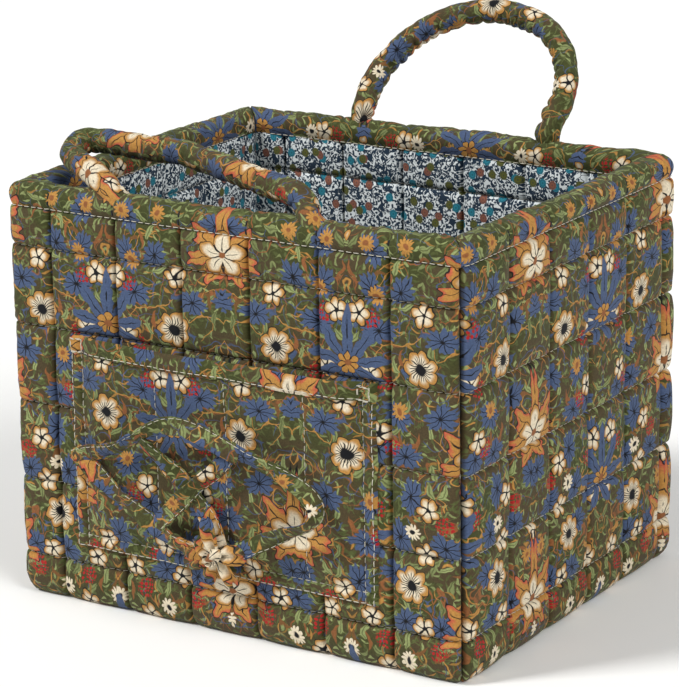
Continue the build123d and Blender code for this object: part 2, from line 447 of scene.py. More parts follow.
def new_material(name, roughness, sheen=0.0):
    """A material with its shader, roughness and sheen set on the shader's own sockets."""
    material = bpy.data.materials.new(name)
    material.use_nodes = True
    tree = material.node_tree
    shader = tree.nodes["Principled BSDF"]
    shader.inputs["Roughness"].default_value = roughness
    shader.inputs["Sheen Weight"].default_value = sheen
    shader.inputs["Sheen Roughness"].default_value = 0.5
    shader.inputs["Specular IOR Level"].default_value = 0.25
    return material, tree, shader


# A flower's places are cells of a spacing, moved by a shift, and share is how many cells hold
# one. Its outline has petals with a waist between them (a share of the radius) and a roundness
# (point, lower is rounder), and may be cut by teeth to a bite. heart is a share of the radius.
# edge, gap and outline are widths, stripes run over a share of the radius, and tint names the
# heart, the petal, the petal's edge and the lines. Lengths are in millimetres.
Flower = namedtuple(
    "Flower", "spacing shift wander share radius petals waist point tint "
              "teeth bite heart edge stripes stripe_from stripe_to stripe_width gap outline",
    defaults=(0,) * 10)
# width is half the leaf's width, and bend how much its middle line curves
Leaf = namedtuple("Leaf", "spacing shift share length width bend tint")
Vine = namedtuple("Vine", "spacing shift width tint")

# Motifs of the print, in the order they are laid down
VINES = (
    Vine(15.0, (3.0, 11.0), 0.50, "sprig"),
    Vine(24.0, (47.0, 5.0), 0.52, "rust"),
    Vine(22.0, (90.0, 33.0), 0.34, "blue"),
    Vine(29.0, (15.0, 71.0), 0.42, "gold"),
)
LEAVES_UNDER_VINES = (
    Leaf(4.4, (0.0, 0.0), 0.72, 2.4, 0.75, 0.10, "sprig"),
    Leaf(5.2, (2.7, 4.1), 0.60, 2.8, 0.72, 0.13, "leaf"),
)
LEAVES_OVER_VINES = (
    Leaf(11.0, (7.0, 3.0), 0.34, 5.6, 1.55, 0.06, "leaf"),
    Leaf(8.0, (5.0, 8.0), 0.26, 3.8, 0.65, 0.10, "gold"),
    Leaf(15.0, (1.0, 13.0), 0.22, 6.0, 1.2, 0.07, "rust"),
)
LEAF_BLUE = Flower(
    spacing=23.0, shift=(9.0, 4.0), wander=0.6, share=0.44, radius=11.8, petals=5, waist=0.56,
    point=0.42, tint=("blue", "blue", "blue", "ink"), teeth=15, bite=0.11, stripes=10,
    stripe_to=0.86, stripe_width=0.60)
DAISY = Flower(
    spacing=31.0, shift=(31.0, 50.0), wander=0.6, share=0.22, radius=5.2, petals=12, waist=0.55,
    point=0.8, tint=("rust", "gold", "gold", "ink"), heart=0.32)
BLOSSOM = Flower(
    spacing=34.0, shift=(12.0, 17.0), wander=0.55, share=0.60, radius=7.6, petals=5, waist=0.46,
    point=0.38, tint=("ink", "cream", "gold", "ink"), heart=0.17, edge=3.3, gap=0.42,
    outline=0.65)
ANEMONE = Flower(
    spacing=61.0, shift=(41.0, 22.0), wander=0.55, share=0.46, radius=11.2, petals=7, waist=0.70,
    point=0.6, tint=("ink", "cream", "gold", "ink"), heart=0.27, edge=4.2, stripes=23,
    stripe_from=0.20, stripe_to=0.72, stripe_width=0.46, outline=0.55)
STAR = Flower(
    spacing=37.0, shift=(5.0, 40.0), wander=0.5, share=0.16, radius=5.0, petals=11, waist=0.5,
    point=0.8, tint=("ink", "cream", "cream", "ink"), heart=0.3)
FLOWERS = (LEAF_BLUE, DAISY, BLOSSOM, ANEMONE, STAR)
# The print turns over on itself along upright fold lines, this far apart
FOLD = 80.0
# Large blooms stand on the fold lines in turn, one over the other, each in two whorls: the
# place of the fold line and the flower. Only the upward part of their shift is used.
BLOOM = dict(spacing=97.0, wander=0, share=1)
BLOOMS = (
    (FOLD, Flower(
        **BLOOM, shift=(0.0, -16.0), radius=21.0, petals=9, waist=0.34, point=1.3,
        tint=("blue", "blue", "blue", "ink"), stripes=18, stripe_from=0.30, stripe_to=0.92,
        stripe_width=0.42)),
    (FOLD, Flower(
        **BLOOM, shift=(0.0, -16.0), radius=6.5, petals=7, waist=0.6, point=0.8,
        tint=("rust", "gold", "gold", "ink"), heart=0.3, edge=1.2, gap=0.3, outline=0.4)),
    (0.0, Flower(
        **BLOOM, shift=(0.0, 32.0), radius=23.0, petals=7, waist=0.46, point=1.0,
        tint=("gold", "gold", "coral", "ink"), teeth=17, bite=0.10, edge=3.6, stripes=14,
        stripe_from=0.30, stripe_to=0.86, stripe_width=0.46, gap=0.42, outline=0.7)),
    (0.0, Flower(
        **BLOOM, shift=(0.0, 32.0), radius=13.5, petals=5, waist=0.50, point=0.8,
        tint=("rust", "cream", "gold", "ink"), heart=0.16, edge=4.0, stripes=10,
        stripe_from=0.2, stripe_to=0.7, stripe_width=0.4, gap=0.45, outline=0.65)),
)
# Red berries lie in round bunches under the blossoms: the cells and the size of the bunches,
# how many cells hold one, and the distance between berries
BUNCH_SPACING, BUNCH_SHIFT, BUNCH_RADIUS, BUNCH_SHARE = 36.0, (23.0, 31.0), 5.0, 0.34
BERRY_SPACING = 2.3
# Rosettes of the lining: tint, spacing and shift of the cells, and how many hold one
ROSETTES = (("lining_teal", 10.5, (0.0, 0.0), 0.52), ("lining_rose", 14.0, (7.0, 3.0), 0.46),
            ("lining_olive", 11.0, (3.0, 9.0), 0.46))
ROSETTE_RADIUS = 2.5
# The weave is drawn at 0.9 mm a thread, coarser than the real 0.3 mm, so that it shows
THREAD_PITCH = 0.9


def draw_flower(tree, below, local, chance, flower, tints):
    """Lays one kind of flower over the print below it and returns the new colour.

    local is the place from the flower's middle, and chance a number that its cell drew."""
    reach = add_node(tree, "VectorMath", (local,), operation="LENGTH").outputs["Value"]
    axes = add_node(tree, "SeparateXYZ", (local,))
    angle = add_node(tree, "Math", (axes.outputs[1], axes.outputs[0]), operation="ARCTAN2")
    lobes = add_node(tree, "Math", (angle, flower.petals / 2), operation="MULTIPLY")
    for operation in ("COSINE", "ABSOLUTE"):
        lobes = add_node(tree, "Math", (lobes,), operation=operation)
    shape = add_node(tree, "Math", (lobes, flower.point), operation="POWER")
    edge = add_node(tree, "Math", (shape, flower.radius * (1 - flower.waist),
                                   flower.radius * flower.waist), operation="MULTIPLY_ADD")
    if flower.teeth:
        teeth = add_node(tree, "Math", (angle, flower.teeth), operation="MULTIPLY")
        teeth = add_node(tree, "Math", (teeth,), operation="SINE")
        teeth = add_node(tree, "Math", (teeth, flower.bite, 1 - flower.bite),
                         operation="MULTIPLY_ADD")
        edge = add_node(tree, "Math", (edge, teeth), operation="MULTIPLY")
    depth = add_node(tree, "Math", (edge, reach), operation="SUBTRACT")
    mask = add_node(tree, "MapRange", (depth, -0.25, 0.25, 0.0, 1.0))
    if chance is not None:
        present = add_node(tree, "Math", (chance, flower.share), operation="LESS_THAN")
        mask = add_node(tree, "Math", (mask, present), operation="MULTIPLY")
    heart, petal, tip, line = (tints[t] for t in flower.tint)
    colour = petal
    if flower.edge:
        share = add_node(tree, "MapRange", (depth, 0.3 * flower.edge, 1.1 * flower.edge,
                                            0.0, 1.0), interpolation_type="SMOOTHSTEP")
        colour = add_node(tree, "MixRGB", (share, tip, petal))
    if flower.stripes:
        rays = add_node(tree, "Math", (angle, flower.stripes / 2), operation="MULTIPLY")
        for operation in ("SINE", "ABSOLUTE"):
            rays = add_node(tree, "Math", (rays,), operation=operation)
        rays = add_node(tree, "Math", (rays, reach), operation="MULTIPLY")
        wide = flower.stripe_width * flower.stripes / 4
        rays = add_node(tree, "MapRange", (rays, wide * 0.6, wide * 1.4, 1.0, 0.0))
        start = add_node(tree, "Math", (reach, flower.stripe_from * flower.radius),
                         operation="GREATER_THAN")
        stop = add_node(tree, "MapRange", (reach, (flower.stripe_to - 0.15) * flower.radius,
                                           flower.stripe_to * flower.radius, 1.0, 0.0))
        for limit in (start, stop):
            rays = add_node(tree, "Math", (rays, limit), operation="MULTIPLY")
        colour = add_node(tree, "MixRGB", (rays, colour, line))
    if flower.gap:
        gaps = add_node(tree, "Math", (lobes, reach), operation="MULTIPLY")
        wide = flower.gap * flower.petals / 2
        gaps = add_node(tree, "MapRange", (gaps, wide * 0.7, wide * 1.3, 1.0, 0.0))
        colour = add_node(tree, "MixRGB", (gaps, colour, line))
    if flower.outline:
        rim = add_node(tree, "MapRange", (depth, flower.outline * 0.7, flower.outline * 1.3,
                                          1.0, 0.0))
        colour = add_node(tree, "MixRGB", (rim, colour, line))
    if flower.heart:
        core = add_node(tree, "MapRange", (reach, flower.heart * flower.radius - 0.3,
                                           flower.heart * flower.radius + 0.3, 1.0, 0.0))
        colour = add_node(tree, "MixRGB", (core, colour, heart))
    return add_node(tree, "MixRGB", (mask, below, colour))


def scatter(tree, at, spacing, shift, wander):
    """Places a motif at random in cells of a spacing.

    Gives the place from the motif's middle, turned at random, and two numbers that the cell
    drew."""
    moved = add_node(tree, "VectorMath", (at, (*shift, 0.0)), operation="ADD")
    cells = add_node(tree, "TexVoronoi", {"Vector": moved, "Scale": 1 / spacing,
                                          "Randomness": wander}, voronoi_dimensions="2D")
    local = add_node(tree, "VectorMath", (moved, cells.outputs["Position"]),
                     operation="SUBTRACT")
    dice = add_node(tree, "SeparateColor", (cells.outputs["Color"],))
    turn = add_node(tree, "Math", (dice.outputs[0], 2 * math.pi), operation="MULTIPLY")
    turned = add_node(tree, "VectorRotate", {"Vector": local, "Angle": turn},
                      rotation_type="Z_AXIS")
    return turned, dice.outputs[1], dice.outputs[2]


def draw_leaf(tree, below, at, leaf, tints):
    """Lays scattered pointed leaves over the print below, the larger ones with a vein."""
    local, chance, shade = scatter(tree, at, leaf.spacing, leaf.shift, 0.8)
    axes = add_node(tree, "SeparateXYZ", (local,))
    run = add_node(tree, "Math", (axes.outputs[0], axes.outputs[0]), operation="MULTIPLY")
    edge = add_node(tree, "Math", (run, -leaf.width / leaf.length ** 2, leaf.width),
                    operation="MULTIPLY_ADD")
    side = add_node(tree, "Math", (run, leaf.bend, axes.outputs[1]), operation="MULTIPLY_ADD")
    side = add_node(tree, "Math", (side,), operation="ABSOLUTE")
    depth = add_node(tree, "Math", (edge, side), operation="SUBTRACT")
    mask = add_node(tree, "MapRange", (depth, -0.15, 0.25, 0.0, 1.0))
    present = add_node(tree, "Math", (chance, leaf.share), operation="LESS_THAN")
    mask = add_node(tree, "Math", (mask, present), operation="MULTIPLY")
    dark = add_node(tree, "MapRange", (shade, 0.0, 1.0, 0.0, 0.55))
    colour = add_node(tree, "MixRGB", (dark, tints[leaf.tint], tints["moss"]))
    if leaf.width > 1.5:
        vein = add_node(tree, "MapRange", (side, 0.2, 0.45, 0.6, 0.0))
        colour = add_node(tree, "MixRGB", (vein, colour, tints["moss"]))
    return add_node(tree, "MixRGB", (mask, below, colour))


def draw_vine(tree, below, at, vine, tints):
    """Lays branching stems over the print below: the edges of bent cells, broken in places."""
    moved = add_node(tree, "VectorMath", (at, (*vine.shift, 0.0)), operation="ADD")
    bend = add_node(tree, "TexNoise", {"Vector": moved, "Scale": 1.4 / vine.spacing,
                                       "Detail": 0.5}, noise_dimensions="2D")
    bend = add_node(tree, "VectorMath", (bend.outputs["Color"], (0.5, 0.5, 0.5)),
                    operation="SUBTRACT")
    reach = (1.6 * vine.spacing, 1.6 * vine.spacing, 0.0)
    bent = add_node(tree, "VectorMath", {0: bend, 1: reach, 2: moved},
                    operation="MULTIPLY_ADD")
    cells = add_node(tree, "TexVoronoi", {"Vector": bent, "Scale": 1 / vine.spacing,
                                          "Randomness": 1.0}, voronoi_dimensions="2D",
                     feature="DISTANCE_TO_EDGE")
    wide = vine.width / vine.spacing
    mask = add_node(tree, "MapRange", (cells, wide * 0.6, wide * 1.5, 0.95, 0.0))
    broken = add_node(tree, "TexNoise", {"Vector": moved, "Scale": 0.9 / vine.spacing},
                      noise_dimensions="2D")
    broken = add_node(tree, "MapRange", (broken, 0.45, 0.49, 0.0, 1.0))
    mask = add_node(tree, "Math", (mask, broken), operation="MULTIPLY")
    return add_node(tree, "MixRGB", (mask, below, tints[vine.tint]))


def on_cloth(tree):
    """The place on the flat cloth, in millimetres. Scales read there are counts per mm."""
    lay = add_node(tree, "UVMap", uv_map="cloth")
    return add_node(tree, "VectorMath", (lay, (1 / MM, 1 / MM, 0.0)), operation="MULTIPLY")


def draw_berries(tree, below, at, tints):
    """Lays round bunches of berries over the print below."""
    bunch, odds, _ = scatter(tree, at, BUNCH_SPACING, BUNCH_SHIFT, 0.5)
    reach = add_node(tree, "VectorMath", (bunch,), operation="LENGTH").outputs["Value"]
    dots = add_node(tree, "TexVoronoi", {"Vector": at, "Scale": 1 / BERRY_SPACING,
                                         "Randomness": 0.25}, voronoi_dimensions="2D")
    berry = add_node(tree, "MapRange", (dots, 0.30, 0.42, 1.0, 0.0))
    inside = add_node(tree, "MapRange", (reach, BUNCH_RADIUS, BUNCH_RADIUS + 1, 1.0, 0.0))
    present = add_node(tree, "Math", (odds, BUNCH_SHARE), operation="LESS_THAN")
    for limit in (inside, present):
        berry = add_node(tree, "Math", (berry, limit), operation="MULTIPLY")
    return add_node(tree, "MixRGB", (berry, below, tints["berry"]))


def draw_bloom(tree, below, at, fold, bloom, tints):
    """Lays a whorl of a large bloom over the print below, at every spacing up a fold line."""
    axes = add_node(tree, "SeparateXYZ", (at,))
    across = add_node(tree, "Math", (axes.outputs[0], fold), operation="SUBTRACT")
    up = add_node(tree, "Math", (axes.outputs[1], bloom.shift[1]), operation="ADD")
    up = add_node(tree, "Math", (up, bloom.spacing), operation="FLOORED_MODULO")
    up = add_node(tree, "Math", (up, bloom.spacing / 2), operation="SUBTRACT")
    # the upper petals are longer than the lower ones, and the whole is a little wider
    lean = add_node(tree, "Math", (up, up), operation="MULTIPLY")
    up = add_node(tree, "Math", (lean, -0.011, up), operation="MULTIPLY_ADD")
    across = add_node(tree, "Math", (across, 0.84), operation="MULTIPLY")
    local = add_node(tree, "CombineXYZ", (up, across, 0.0))
    return draw_flower(tree, below, local, None, bloom, tints)


def printed_cotton(name, colours):
    """Printed plain-weave cotton: matt, softly fuzzy, with a dense botanical print."""
    tints = {key: tuple(getattr(colours, key)) for key in (
        "ground", "moss", "leaf", "sprig", "blue", "ink", "cream", "gold", "rust", "coral",
        "berry")}
    material, tree, shader = new_material(name, roughness=0.86, sheen=0.05)
    flat = on_cloth(tree)
    # the drawing is a little shaky, as a hand-cut print is
    wobble = add_node(tree, "TexNoise", {"Vector": flat, "Scale": 0.16, "Detail": 1.0},
                      noise_dimensions="2D")
    wobble = add_node(tree, "VectorMath", (wobble.outputs["Color"], (0.5, 0.5, 0.5)),
                      operation="SUBTRACT")
    axes = add_node(tree, "SeparateXYZ", (flat,))
    folded = add_node(tree, "Math", (axes.outputs[0], FOLD), operation="PINGPONG")
    place = add_node(tree, "CombineXYZ", (folded, axes.outputs[1], 0.0))
    drawn = add_node(tree, "VectorMath", {0: wobble, 1: (3.2, 3.2, 0.0), 2: place},
                     operation="MULTIPLY_ADD")
    patches = add_node(tree, "TexNoise", {"Vector": place, "Scale": 1 / 42, "Detail": 1.5},
                       noise_dimensions="2D")
    patches = add_node(tree, "MapRange", (patches, 0.40, 0.60, 0.0, 1.0),
                       interpolation_type="SMOOTHSTEP")
    colour = add_node(tree, "MixRGB", (patches, tints["ground"], tints["moss"]))
    for leaf in LEAVES_UNDER_VINES:
        colour = draw_leaf(tree, colour, drawn, leaf, tints)
    for vine in VINES:
        colour = draw_vine(tree, colour, drawn, vine, tints)
    for leaf in LEAVES_OVER_VINES:
        colour = draw_leaf(tree, colour, drawn, leaf, tints)
    for flower in FLOWERS:
        local, chance, _ = scatter(tree, drawn, flower.spacing, flower.shift, flower.wander)
        if flower is LEAF_BLUE:
            # a blue leaf is half as long again as it is wide
            local = add_node(tree, "VectorMath", (local, (1.0, 1.5, 0.0)), operation="MULTIPLY")
        if flower is BLOSSOM:
            colour = draw_berries(tree, colour, drawn, tints)
        colour = draw_flower(tree, colour, local, chance, flower, tints)
    for fold, bloom in BLOOMS:
        colour = draw_bloom(tree, colour, drawn, fold, bloom, tints)
    # the dye takes unevenly on the threads
    faded = add_node(tree, "TexNoise", {"Vector": flat, "Scale": 0.9, "Detail": 2.0},
                     noise_dimensions="2D")
    faded = add_node(tree, "MapRange", (faded, 0.3, 0.7, 0.76, 1.0))
    colour = add_node(tree, "VectorMath", {0: colour, "Scale": faded}, operation="SCALE")
    tree.links.new(colour.outputs[0], shader.inputs["Base Color"])
    weave_bump(tree, shader, flat, 0.35)
    return material


def weave_bump(tree, shader, flat, strength):
    """A plain weave as crossed threads, with a little crumple under it."""
    turn = add_node(tree, "VectorMath", (flat, (2 * math.pi / THREAD_PITCH,) * 3),
                    operation="MULTIPLY")
    axes = add_node(tree, "SeparateXYZ", (turn,))
    warp = add_node(tree, "Math", (axes.outputs[0],), operation="SINE")
    weft = add_node(tree, "Math", (axes.outputs[1],), operation="SINE")
    threads = add_node(tree, "Math", (warp, weft), operation="MULTIPLY")
    crumple = add_node(tree, "TexNoise", {"Vector": flat, "Scale": 0.22, "Detail": 3.0},
                       noise_dimensions="2D")
    height = add_node(tree, "Math", (threads, 0.05, crumple), operation="MULTIPLY_ADD")
    bump = add_node(tree, "Bump", {"Strength": strength, "Distance": 0.0009, "Height": height})
    tree.links.new(bump.outputs[0], shader.inputs["Normal"])


def lining_cotton(name, colours):
    """Fine cotton lawn: smoother than the print, with close scrolls and small rosettes."""
    material, tree, shader = new_material(name, roughness=0.84, sheen=0.08)
    flat = on_cloth(tree)
    white, navy = tuple(colours.lining_white), tuple(colours.lining_navy)
    swirl = add_node(tree, "TexNoise", {"Vector": flat, "Scale": 0.24, "Detail": 1.0,
                                        "Distortion": 1.1}, noise_dimensions="2D")
    level = add_node(tree, "Math", (swirl, 0.5), operation="SUBTRACT")
    level = add_node(tree, "Math", (level,), operation="ABSOLUTE")
    scrolls = add_node(tree, "MapRange", (level, 0.066, 0.088, 1.0, 0.0))
    seeds = add_node(tree, "TexVoronoi", {"Vector": flat, "Scale": 0.36, "Randomness": 1.0},
                     voronoi_dimensions="2D")
    seeds = add_node(tree, "MapRange", (seeds, 0.24, 0.32, 1.0, 0.0))
    scrolls = add_node(tree, "Math", (scrolls, seeds), operation="MAXIMUM")
    colour = add_node(tree, "MixRGB", (scrolls, white, navy))
    for tint, spacing, shift, share in ROSETTES:
        local, chance, _ = scatter(tree, flat, spacing, shift, 0.7)
        reach = add_node(tree, "VectorMath", (local,), operation="LENGTH").outputs["Value"]
        present = add_node(tree, "Math", (chance, share), operation="LESS_THAN")
        disc = add_node(tree, "MapRange", (reach, ROSETTE_RADIUS, ROSETTE_RADIUS + 0.4, 1.0, 0.0))
        disc = add_node(tree, "Math", (disc, present), operation="MULTIPLY")
        rings = add_node(tree, "Math", (reach, 4.2), operation="MULTIPLY")
        rings = add_node(tree, "Math", (rings,), operation="SINE")
        rings = add_node(tree, "MapRange", (rings, 0.2, 0.9, 0.0, 0.55))
        rosette = add_node(tree, "MixRGB", (rings, tuple(getattr(colours, tint)), navy))
        colour = add_node(tree, "MixRGB", (disc, colour, rosette))
    tree.links.new(colour.outputs[0], shader.inputs["Base Color"])
    weave_bump(tree, shader, flat, 0.3)
    return material


def cotton_thread(name, colour):
    """Twisted cotton sewing thread: matt, with its ply's slant every 0.7 mm painted in as shade
    and highlight.
    """
    material, tree, shader = new_material(name, roughness=0.75, sheen=0.1)
    place = add_node(tree, "TexCoord").outputs["Object"]
    ply = add_node(tree, "TexWave", {"Vector": place, "Scale": 900.0, "Distortion": 1.5},
                   bands_direction="DIAGONAL")
    # painted shade in the grooves of the twist and painted highlight on its ridges
    shade = add_node(tree, "MapRange", (ply.outputs["Fac"], 0.0, 1.0, 0.72, 1.08))
    tint = add_node(tree, "VectorMath", {0: tuple(colour), "Scale": shade}, operation="SCALE")
    tree.links.new(tint.outputs[0], shader.inputs["Base Color"])
    return material


def inner_layer(name, pale, dark, grain, roughness, depth):
    """A hidden layer of the wall: fibres or open cells of a real size, in two close shades."""
    material, tree, shader = new_material(name, roughness)
    place = add_node(tree, "TexCoord").outputs["Object"]
    cells = add_node(tree, "TexNoise", {"Vector": place, "Scale": 1 / grain, "Detail": 4.0})
    shade = add_node(tree, "MapRange", (cells, 0.3, 0.7, 0.0, 1.0))
    tint = add_node(tree, "MixRGB", (shade, linear(pale), linear(dark)))
    tree.links.new(tint.outputs[0], shader.inputs["Base Color"])
    bump = add_node(tree, "Bump", {"Strength": 0.5, "Distance": depth, "Height": cells})
    tree.links.new(bump.outputs[0], shader.inputs["Normal"])
    return material


def made(name, maker, value):
    """A material by name, made the first time that it is asked for."""
    return bpy.data.materials.get(name) or maker(name, value)


def print_of(scene):
    """The printed cotton of the outside."""
    return made("printed cotton, plain weave", printed_cotton, scene.basket.colours)


def lining_of(scene):
    """The printed lawn of the inside."""
    return made("printed cotton lawn, lining", lining_cotton, scene.basket.colours)


def thread_of(scene, shade):
    """The light or the dark sewing thread."""
    return made(f"cotton thread, {shade}", cotton_thread,
                getattr(scene.basket.colours, f"{shade}_thread"))


# ---------------------------------------------------------------- walls


def wall_lines(side):
    """Upright seams of a side, with its two corner seams."""
    end = side_length(side)
    return (-end, *COLUMNS[side], end)


def wall_rows():
    """Cross seams of a wall, from the base seam to the rim, measured up from the foot."""
    return (-FOOT_LENGTH, *(z - FOOT_RISE for z in ROWS), RIM_SEAM - FOOT_RISE)


def wall_surface(side, across, along, rise):
    """Points of a quilted wall. along is 0 where the wall begins to turn under."""
    seed = 11 + list(SIDES).index(side) * 5
    height = quilting(across, along, wall_lines(side), wall_rows(), rise, seed)
    height = height - groove(side_length(side) - np.abs(across), CORNER_GROOVE)
    # the padding is pressed thinner where the basket stands on it
    under = np.clip(-along / FOOT_LENGTH, 0, 1) * math.pi / 2
    height = height * (1 - 0.55 * np.sin(under))
    inset = FOOT_INSET * (1 - np.cos(under)) - height * np.cos(under)
    z = FOOT_RISE * (1 - np.sin(under)) + np.maximum(along, 0) - height * np.sin(under)
    x, y = round_basket(side, across, inset)
    return np.stack([x, y, np.maximum(z, 0.4)], axis=-1)


def outward(side, count):
    """A side's outward direction, once for each point of a run."""
    x, y = SIDES[side][1]
    return np.tile([float(x), float(y), 0.0], (count, 1))


class BASKET_OT_walls(Operator):
    """Makes the four quilted outer walls, turned under at the foot and pinched at the corners"""

    bl_idname = "basket.walls"
    bl_label = "Quilted walls"

    def execute(self, context):
        sizes = context.scene.basket.sizes
        for number, side in enumerate(SIDES):
            across = steps(wall_lines(side), sizes.rows_per_cell)
            along = steps(wall_rows(), sizes.rows_per_cell)
            a, t = np.meshgrid(across, along)
            points = wall_surface(side, a, t, sizes.quilt_rise / MM)
            lay = np.stack([a + number * NEXT_CUT, t], axis=-1)
            wall = cloth(f"{side}_wall_quilt", points, lay, sizes.cloth_thickness)
            finish_piece(wall, print_of(context.scene), "printed_cotton", "basket",
                         f"{side}_panel")
        return {"FINISHED"}


# Where the base's and the floor lining's pieces are cut from the cloth, along and up it
BASE_CUT = (200, 700)


def level_quilting(inset, count, rise, seed):
    """A level quilt between the walls: half its size, the places of its points, their height
    over its seams, and its flat lay."""
    half_x, half_y = HALF_WIDTH - inset, HALF_DEPTH - inset
    columns = (-half_x, *COLUMNS["front"], half_x)
    rows = (-half_y, *COLUMNS["right"], half_y)
    x, y = np.meshgrid(steps(columns, count), steps(rows, count))
    lay = np.stack([x + BASE_CUT[0], y + BASE_CUT[1]], axis=-1)
    return half_x, half_y, x, y, quilting(x, y, columns, rows, rise, seed), lay


class BASKET_OT_base(Operator):
    """Makes the quilted base that the basket stands on"""

    bl_idname = "basket.base"
    bl_label = "Quilted base"

    def execute(self, context):
        sizes = context.scene.basket.sizes
        half_x, half_y, x, y, height, lay = level_quilting(FOOT_INSET - 1.5, 16, 1.1, 71)
        # its corners are as round as the walls'
        over_x = np.maximum(np.abs(x) - (half_x - CORNER), 0)
        over_y = np.maximum(np.abs(y) - (half_y - CORNER), 0)
        over = np.maximum(np.hypot(over_x, over_y) / CORNER, 1)
        px = np.sign(x) * (np.abs(x) - over_x + over_x / over)
        py = np.sign(y) * (np.abs(y) - over_y + over_y / over)
        z = 2.2 - np.clip(height, -0.4, 1.6)
        points = np.stack([px, py, z], axis=-1)
        base = cloth("base_quilt", points, lay, sizes.cloth_thickness, flip=True)
        finish_piece(base, print_of(context.scene), "printed_cotton", "basket", "base_panel")
        return {"FINISHED"}


# Rim, from its outer seam over the top to the facing's seam: inset and height
RIM_PROFILE = ((0.5, -0.6), (-1.5, 2.6), (-2.3, 6.2), (-1.2, 10.0), (1.8, 12.7), (6.0, 13.9),
               (10.2, 13.4), (13.8, 11.4), (15.9, 8.0), (16.1, 4.0), (14.6, 0.2), (13.7, -1.6))
RIM_MIDDLE = (7.2, 6.0)
RIM_RADIUS = 8.5
# Cloth of the rim from its outer seam to the facing
RIM_CLOTH = 42


def rim_surface(side, across, around):
    """Points of the padded rim. around runs from 0 at the outer seam to 1 at the facing."""
    profile = eased_line(RIM_PROFILE, 0.5, 3.0)
    share = np.linspace(0, 1, len(profile))
    inset = np.interp(around, share, profile[:, 0])
    height = np.interp(around, share, profile[:, 1])
    seed = 41 + list(SIDES).index(side)
    puff = 0.45 * ripple(across, around * 22, 15, seed)
    puff = puff + 0.3 * ripple(across, around * 9, 6, seed + 9)
    # the walls' upright seams run on over the outer half of the rim
    outer_half = np.clip(1.5 - around * 2.6, 0, 1)
    puff = puff - groove(nearest(across, wall_lines(side)[1:-1]), RIM_GROOVE) * outer_half
    puff = puff + 0.7 * (between(across, wall_lines(side))[0] - 0.7)
    seam = side_length(side) - np.abs(across)
    puff = puff - groove(seam, RIM_CORNER_GROOVE)
    # the padding swells from the middle of the roll
    scale = 1 + puff * np.sin(math.pi * np.clip(around, 0.04, 0.96)) / RIM_RADIUS
    inset = RIM_MIDDLE[0] + (inset - RIM_MIDDLE[0]) * scale
    height = RIM_MIDDLE[1] + (height - RIM_MIDDLE[1]) * scale
    # the rim rises and falls a little along each side, and not at the corners
    wave = 0.7 * ripple(across, 0 * across, 120, seed + 20)
    wave = wave * np.clip(seam / 25, 0, 1)
    x, y = round_basket(side, across, inset)
    return np.stack([x, y, RIM_SEAM + height + wave * np.clip(height / 8, 0, 1)], axis=-1)


class BASKET_OT_rim(Operator):
    """Makes the padded rim that binds the walls and is turned down inside"""

    bl_idname = "basket.rim"
    bl_label = "Padded rim"

    def execute(self, context):
        sizes = context.scene.basket.sizes
        around = np.linspace(0, 1, 34)
        for number, side in enumerate(SIDES):
            across = steps(wall_lines(side), sizes.rows_per_cell + 6)
            a, k = np.meshgrid(across, around)
            lay = np.stack([a + number * NEXT_CUT, k * RIM_CLOTH + RIM_SEAM - FOOT_RISE], axis=-1)
            rim = cloth(f"{side}_rim_roll", rim_surface(side, a, k), lay, sizes.cloth_thickness)
            finish_piece(rim, print_of(context.scene), "printed_cotton", "basket",
                         *(["rim_binding"] if side == "front" else []))
        return {"FINISHED"}


LINING_ROWS = (FLOOR_TOP, *ROWS, RIM_SEAM + 1)
LINING_STEPS = 14


def lining_surface(side, across, z, rise):
    """Points of the quilted lining of one wall, facing the inside of the basket."""
    seed = 91 + list(SIDES).index(side) * 5
    height = quilting(across, z, wall_lines(side), LINING_ROWS, rise, seed)
    height = height * np.clip((side_length(side) - np.abs(across)) / 8, 0, 1)
    # the foot of the lining curves in to meet the floor
    foot = 5.0 * (1 - np.clip((z - FLOOR_TOP) / 8, 0, 1)) ** 2
    x, y = round_basket(side, across, LINING_INSET + height + foot)
    return np.stack([x, y, z], axis=-1)


class BASKET_OT_lining(Operator):
    """Makes the quilted lining of the walls and of the floor"""

    bl_idname = "basket.lining"
    bl_label = "Quilted lining"

    def execute(self, context):
        sizes = context.scene.basket.sizes
        for number, side in enumerate(SIDES):
            a, z = np.meshgrid(steps(wall_lines(side), LINING_STEPS),
                               steps(LINING_ROWS, LINING_STEPS))
            points = lining_surface(side, a, z, sizes.lining_rise / MM)
            lay = np.stack([a + number * NEXT_CUT, z], axis=-1)
            lining = cloth(f"{side}_lining_quilt", points, lay, sizes.cloth_thickness, flip=True)
            finish_piece(lining, lining_of(context.scene), "lining_cotton", "basket",
                         f"{side}_lining")
        *_, x, y, height, lay = level_quilting(LINING_INSET - 1, LINING_STEPS, 1.8, 133)
        z = FLOOR_TOP - 0.6 + np.clip(height, -0.4, 3)
        floor = cloth("floor_lining_quilt", np.stack([x, y, z], axis=-1), lay,
                      sizes.cloth_thickness)
        finish_piece(floor, lining_of(context.scene), "lining_cotton", "basket", "base_lining")
        return {"FINISHED"}


# ---------------------------------------------------------------- handles


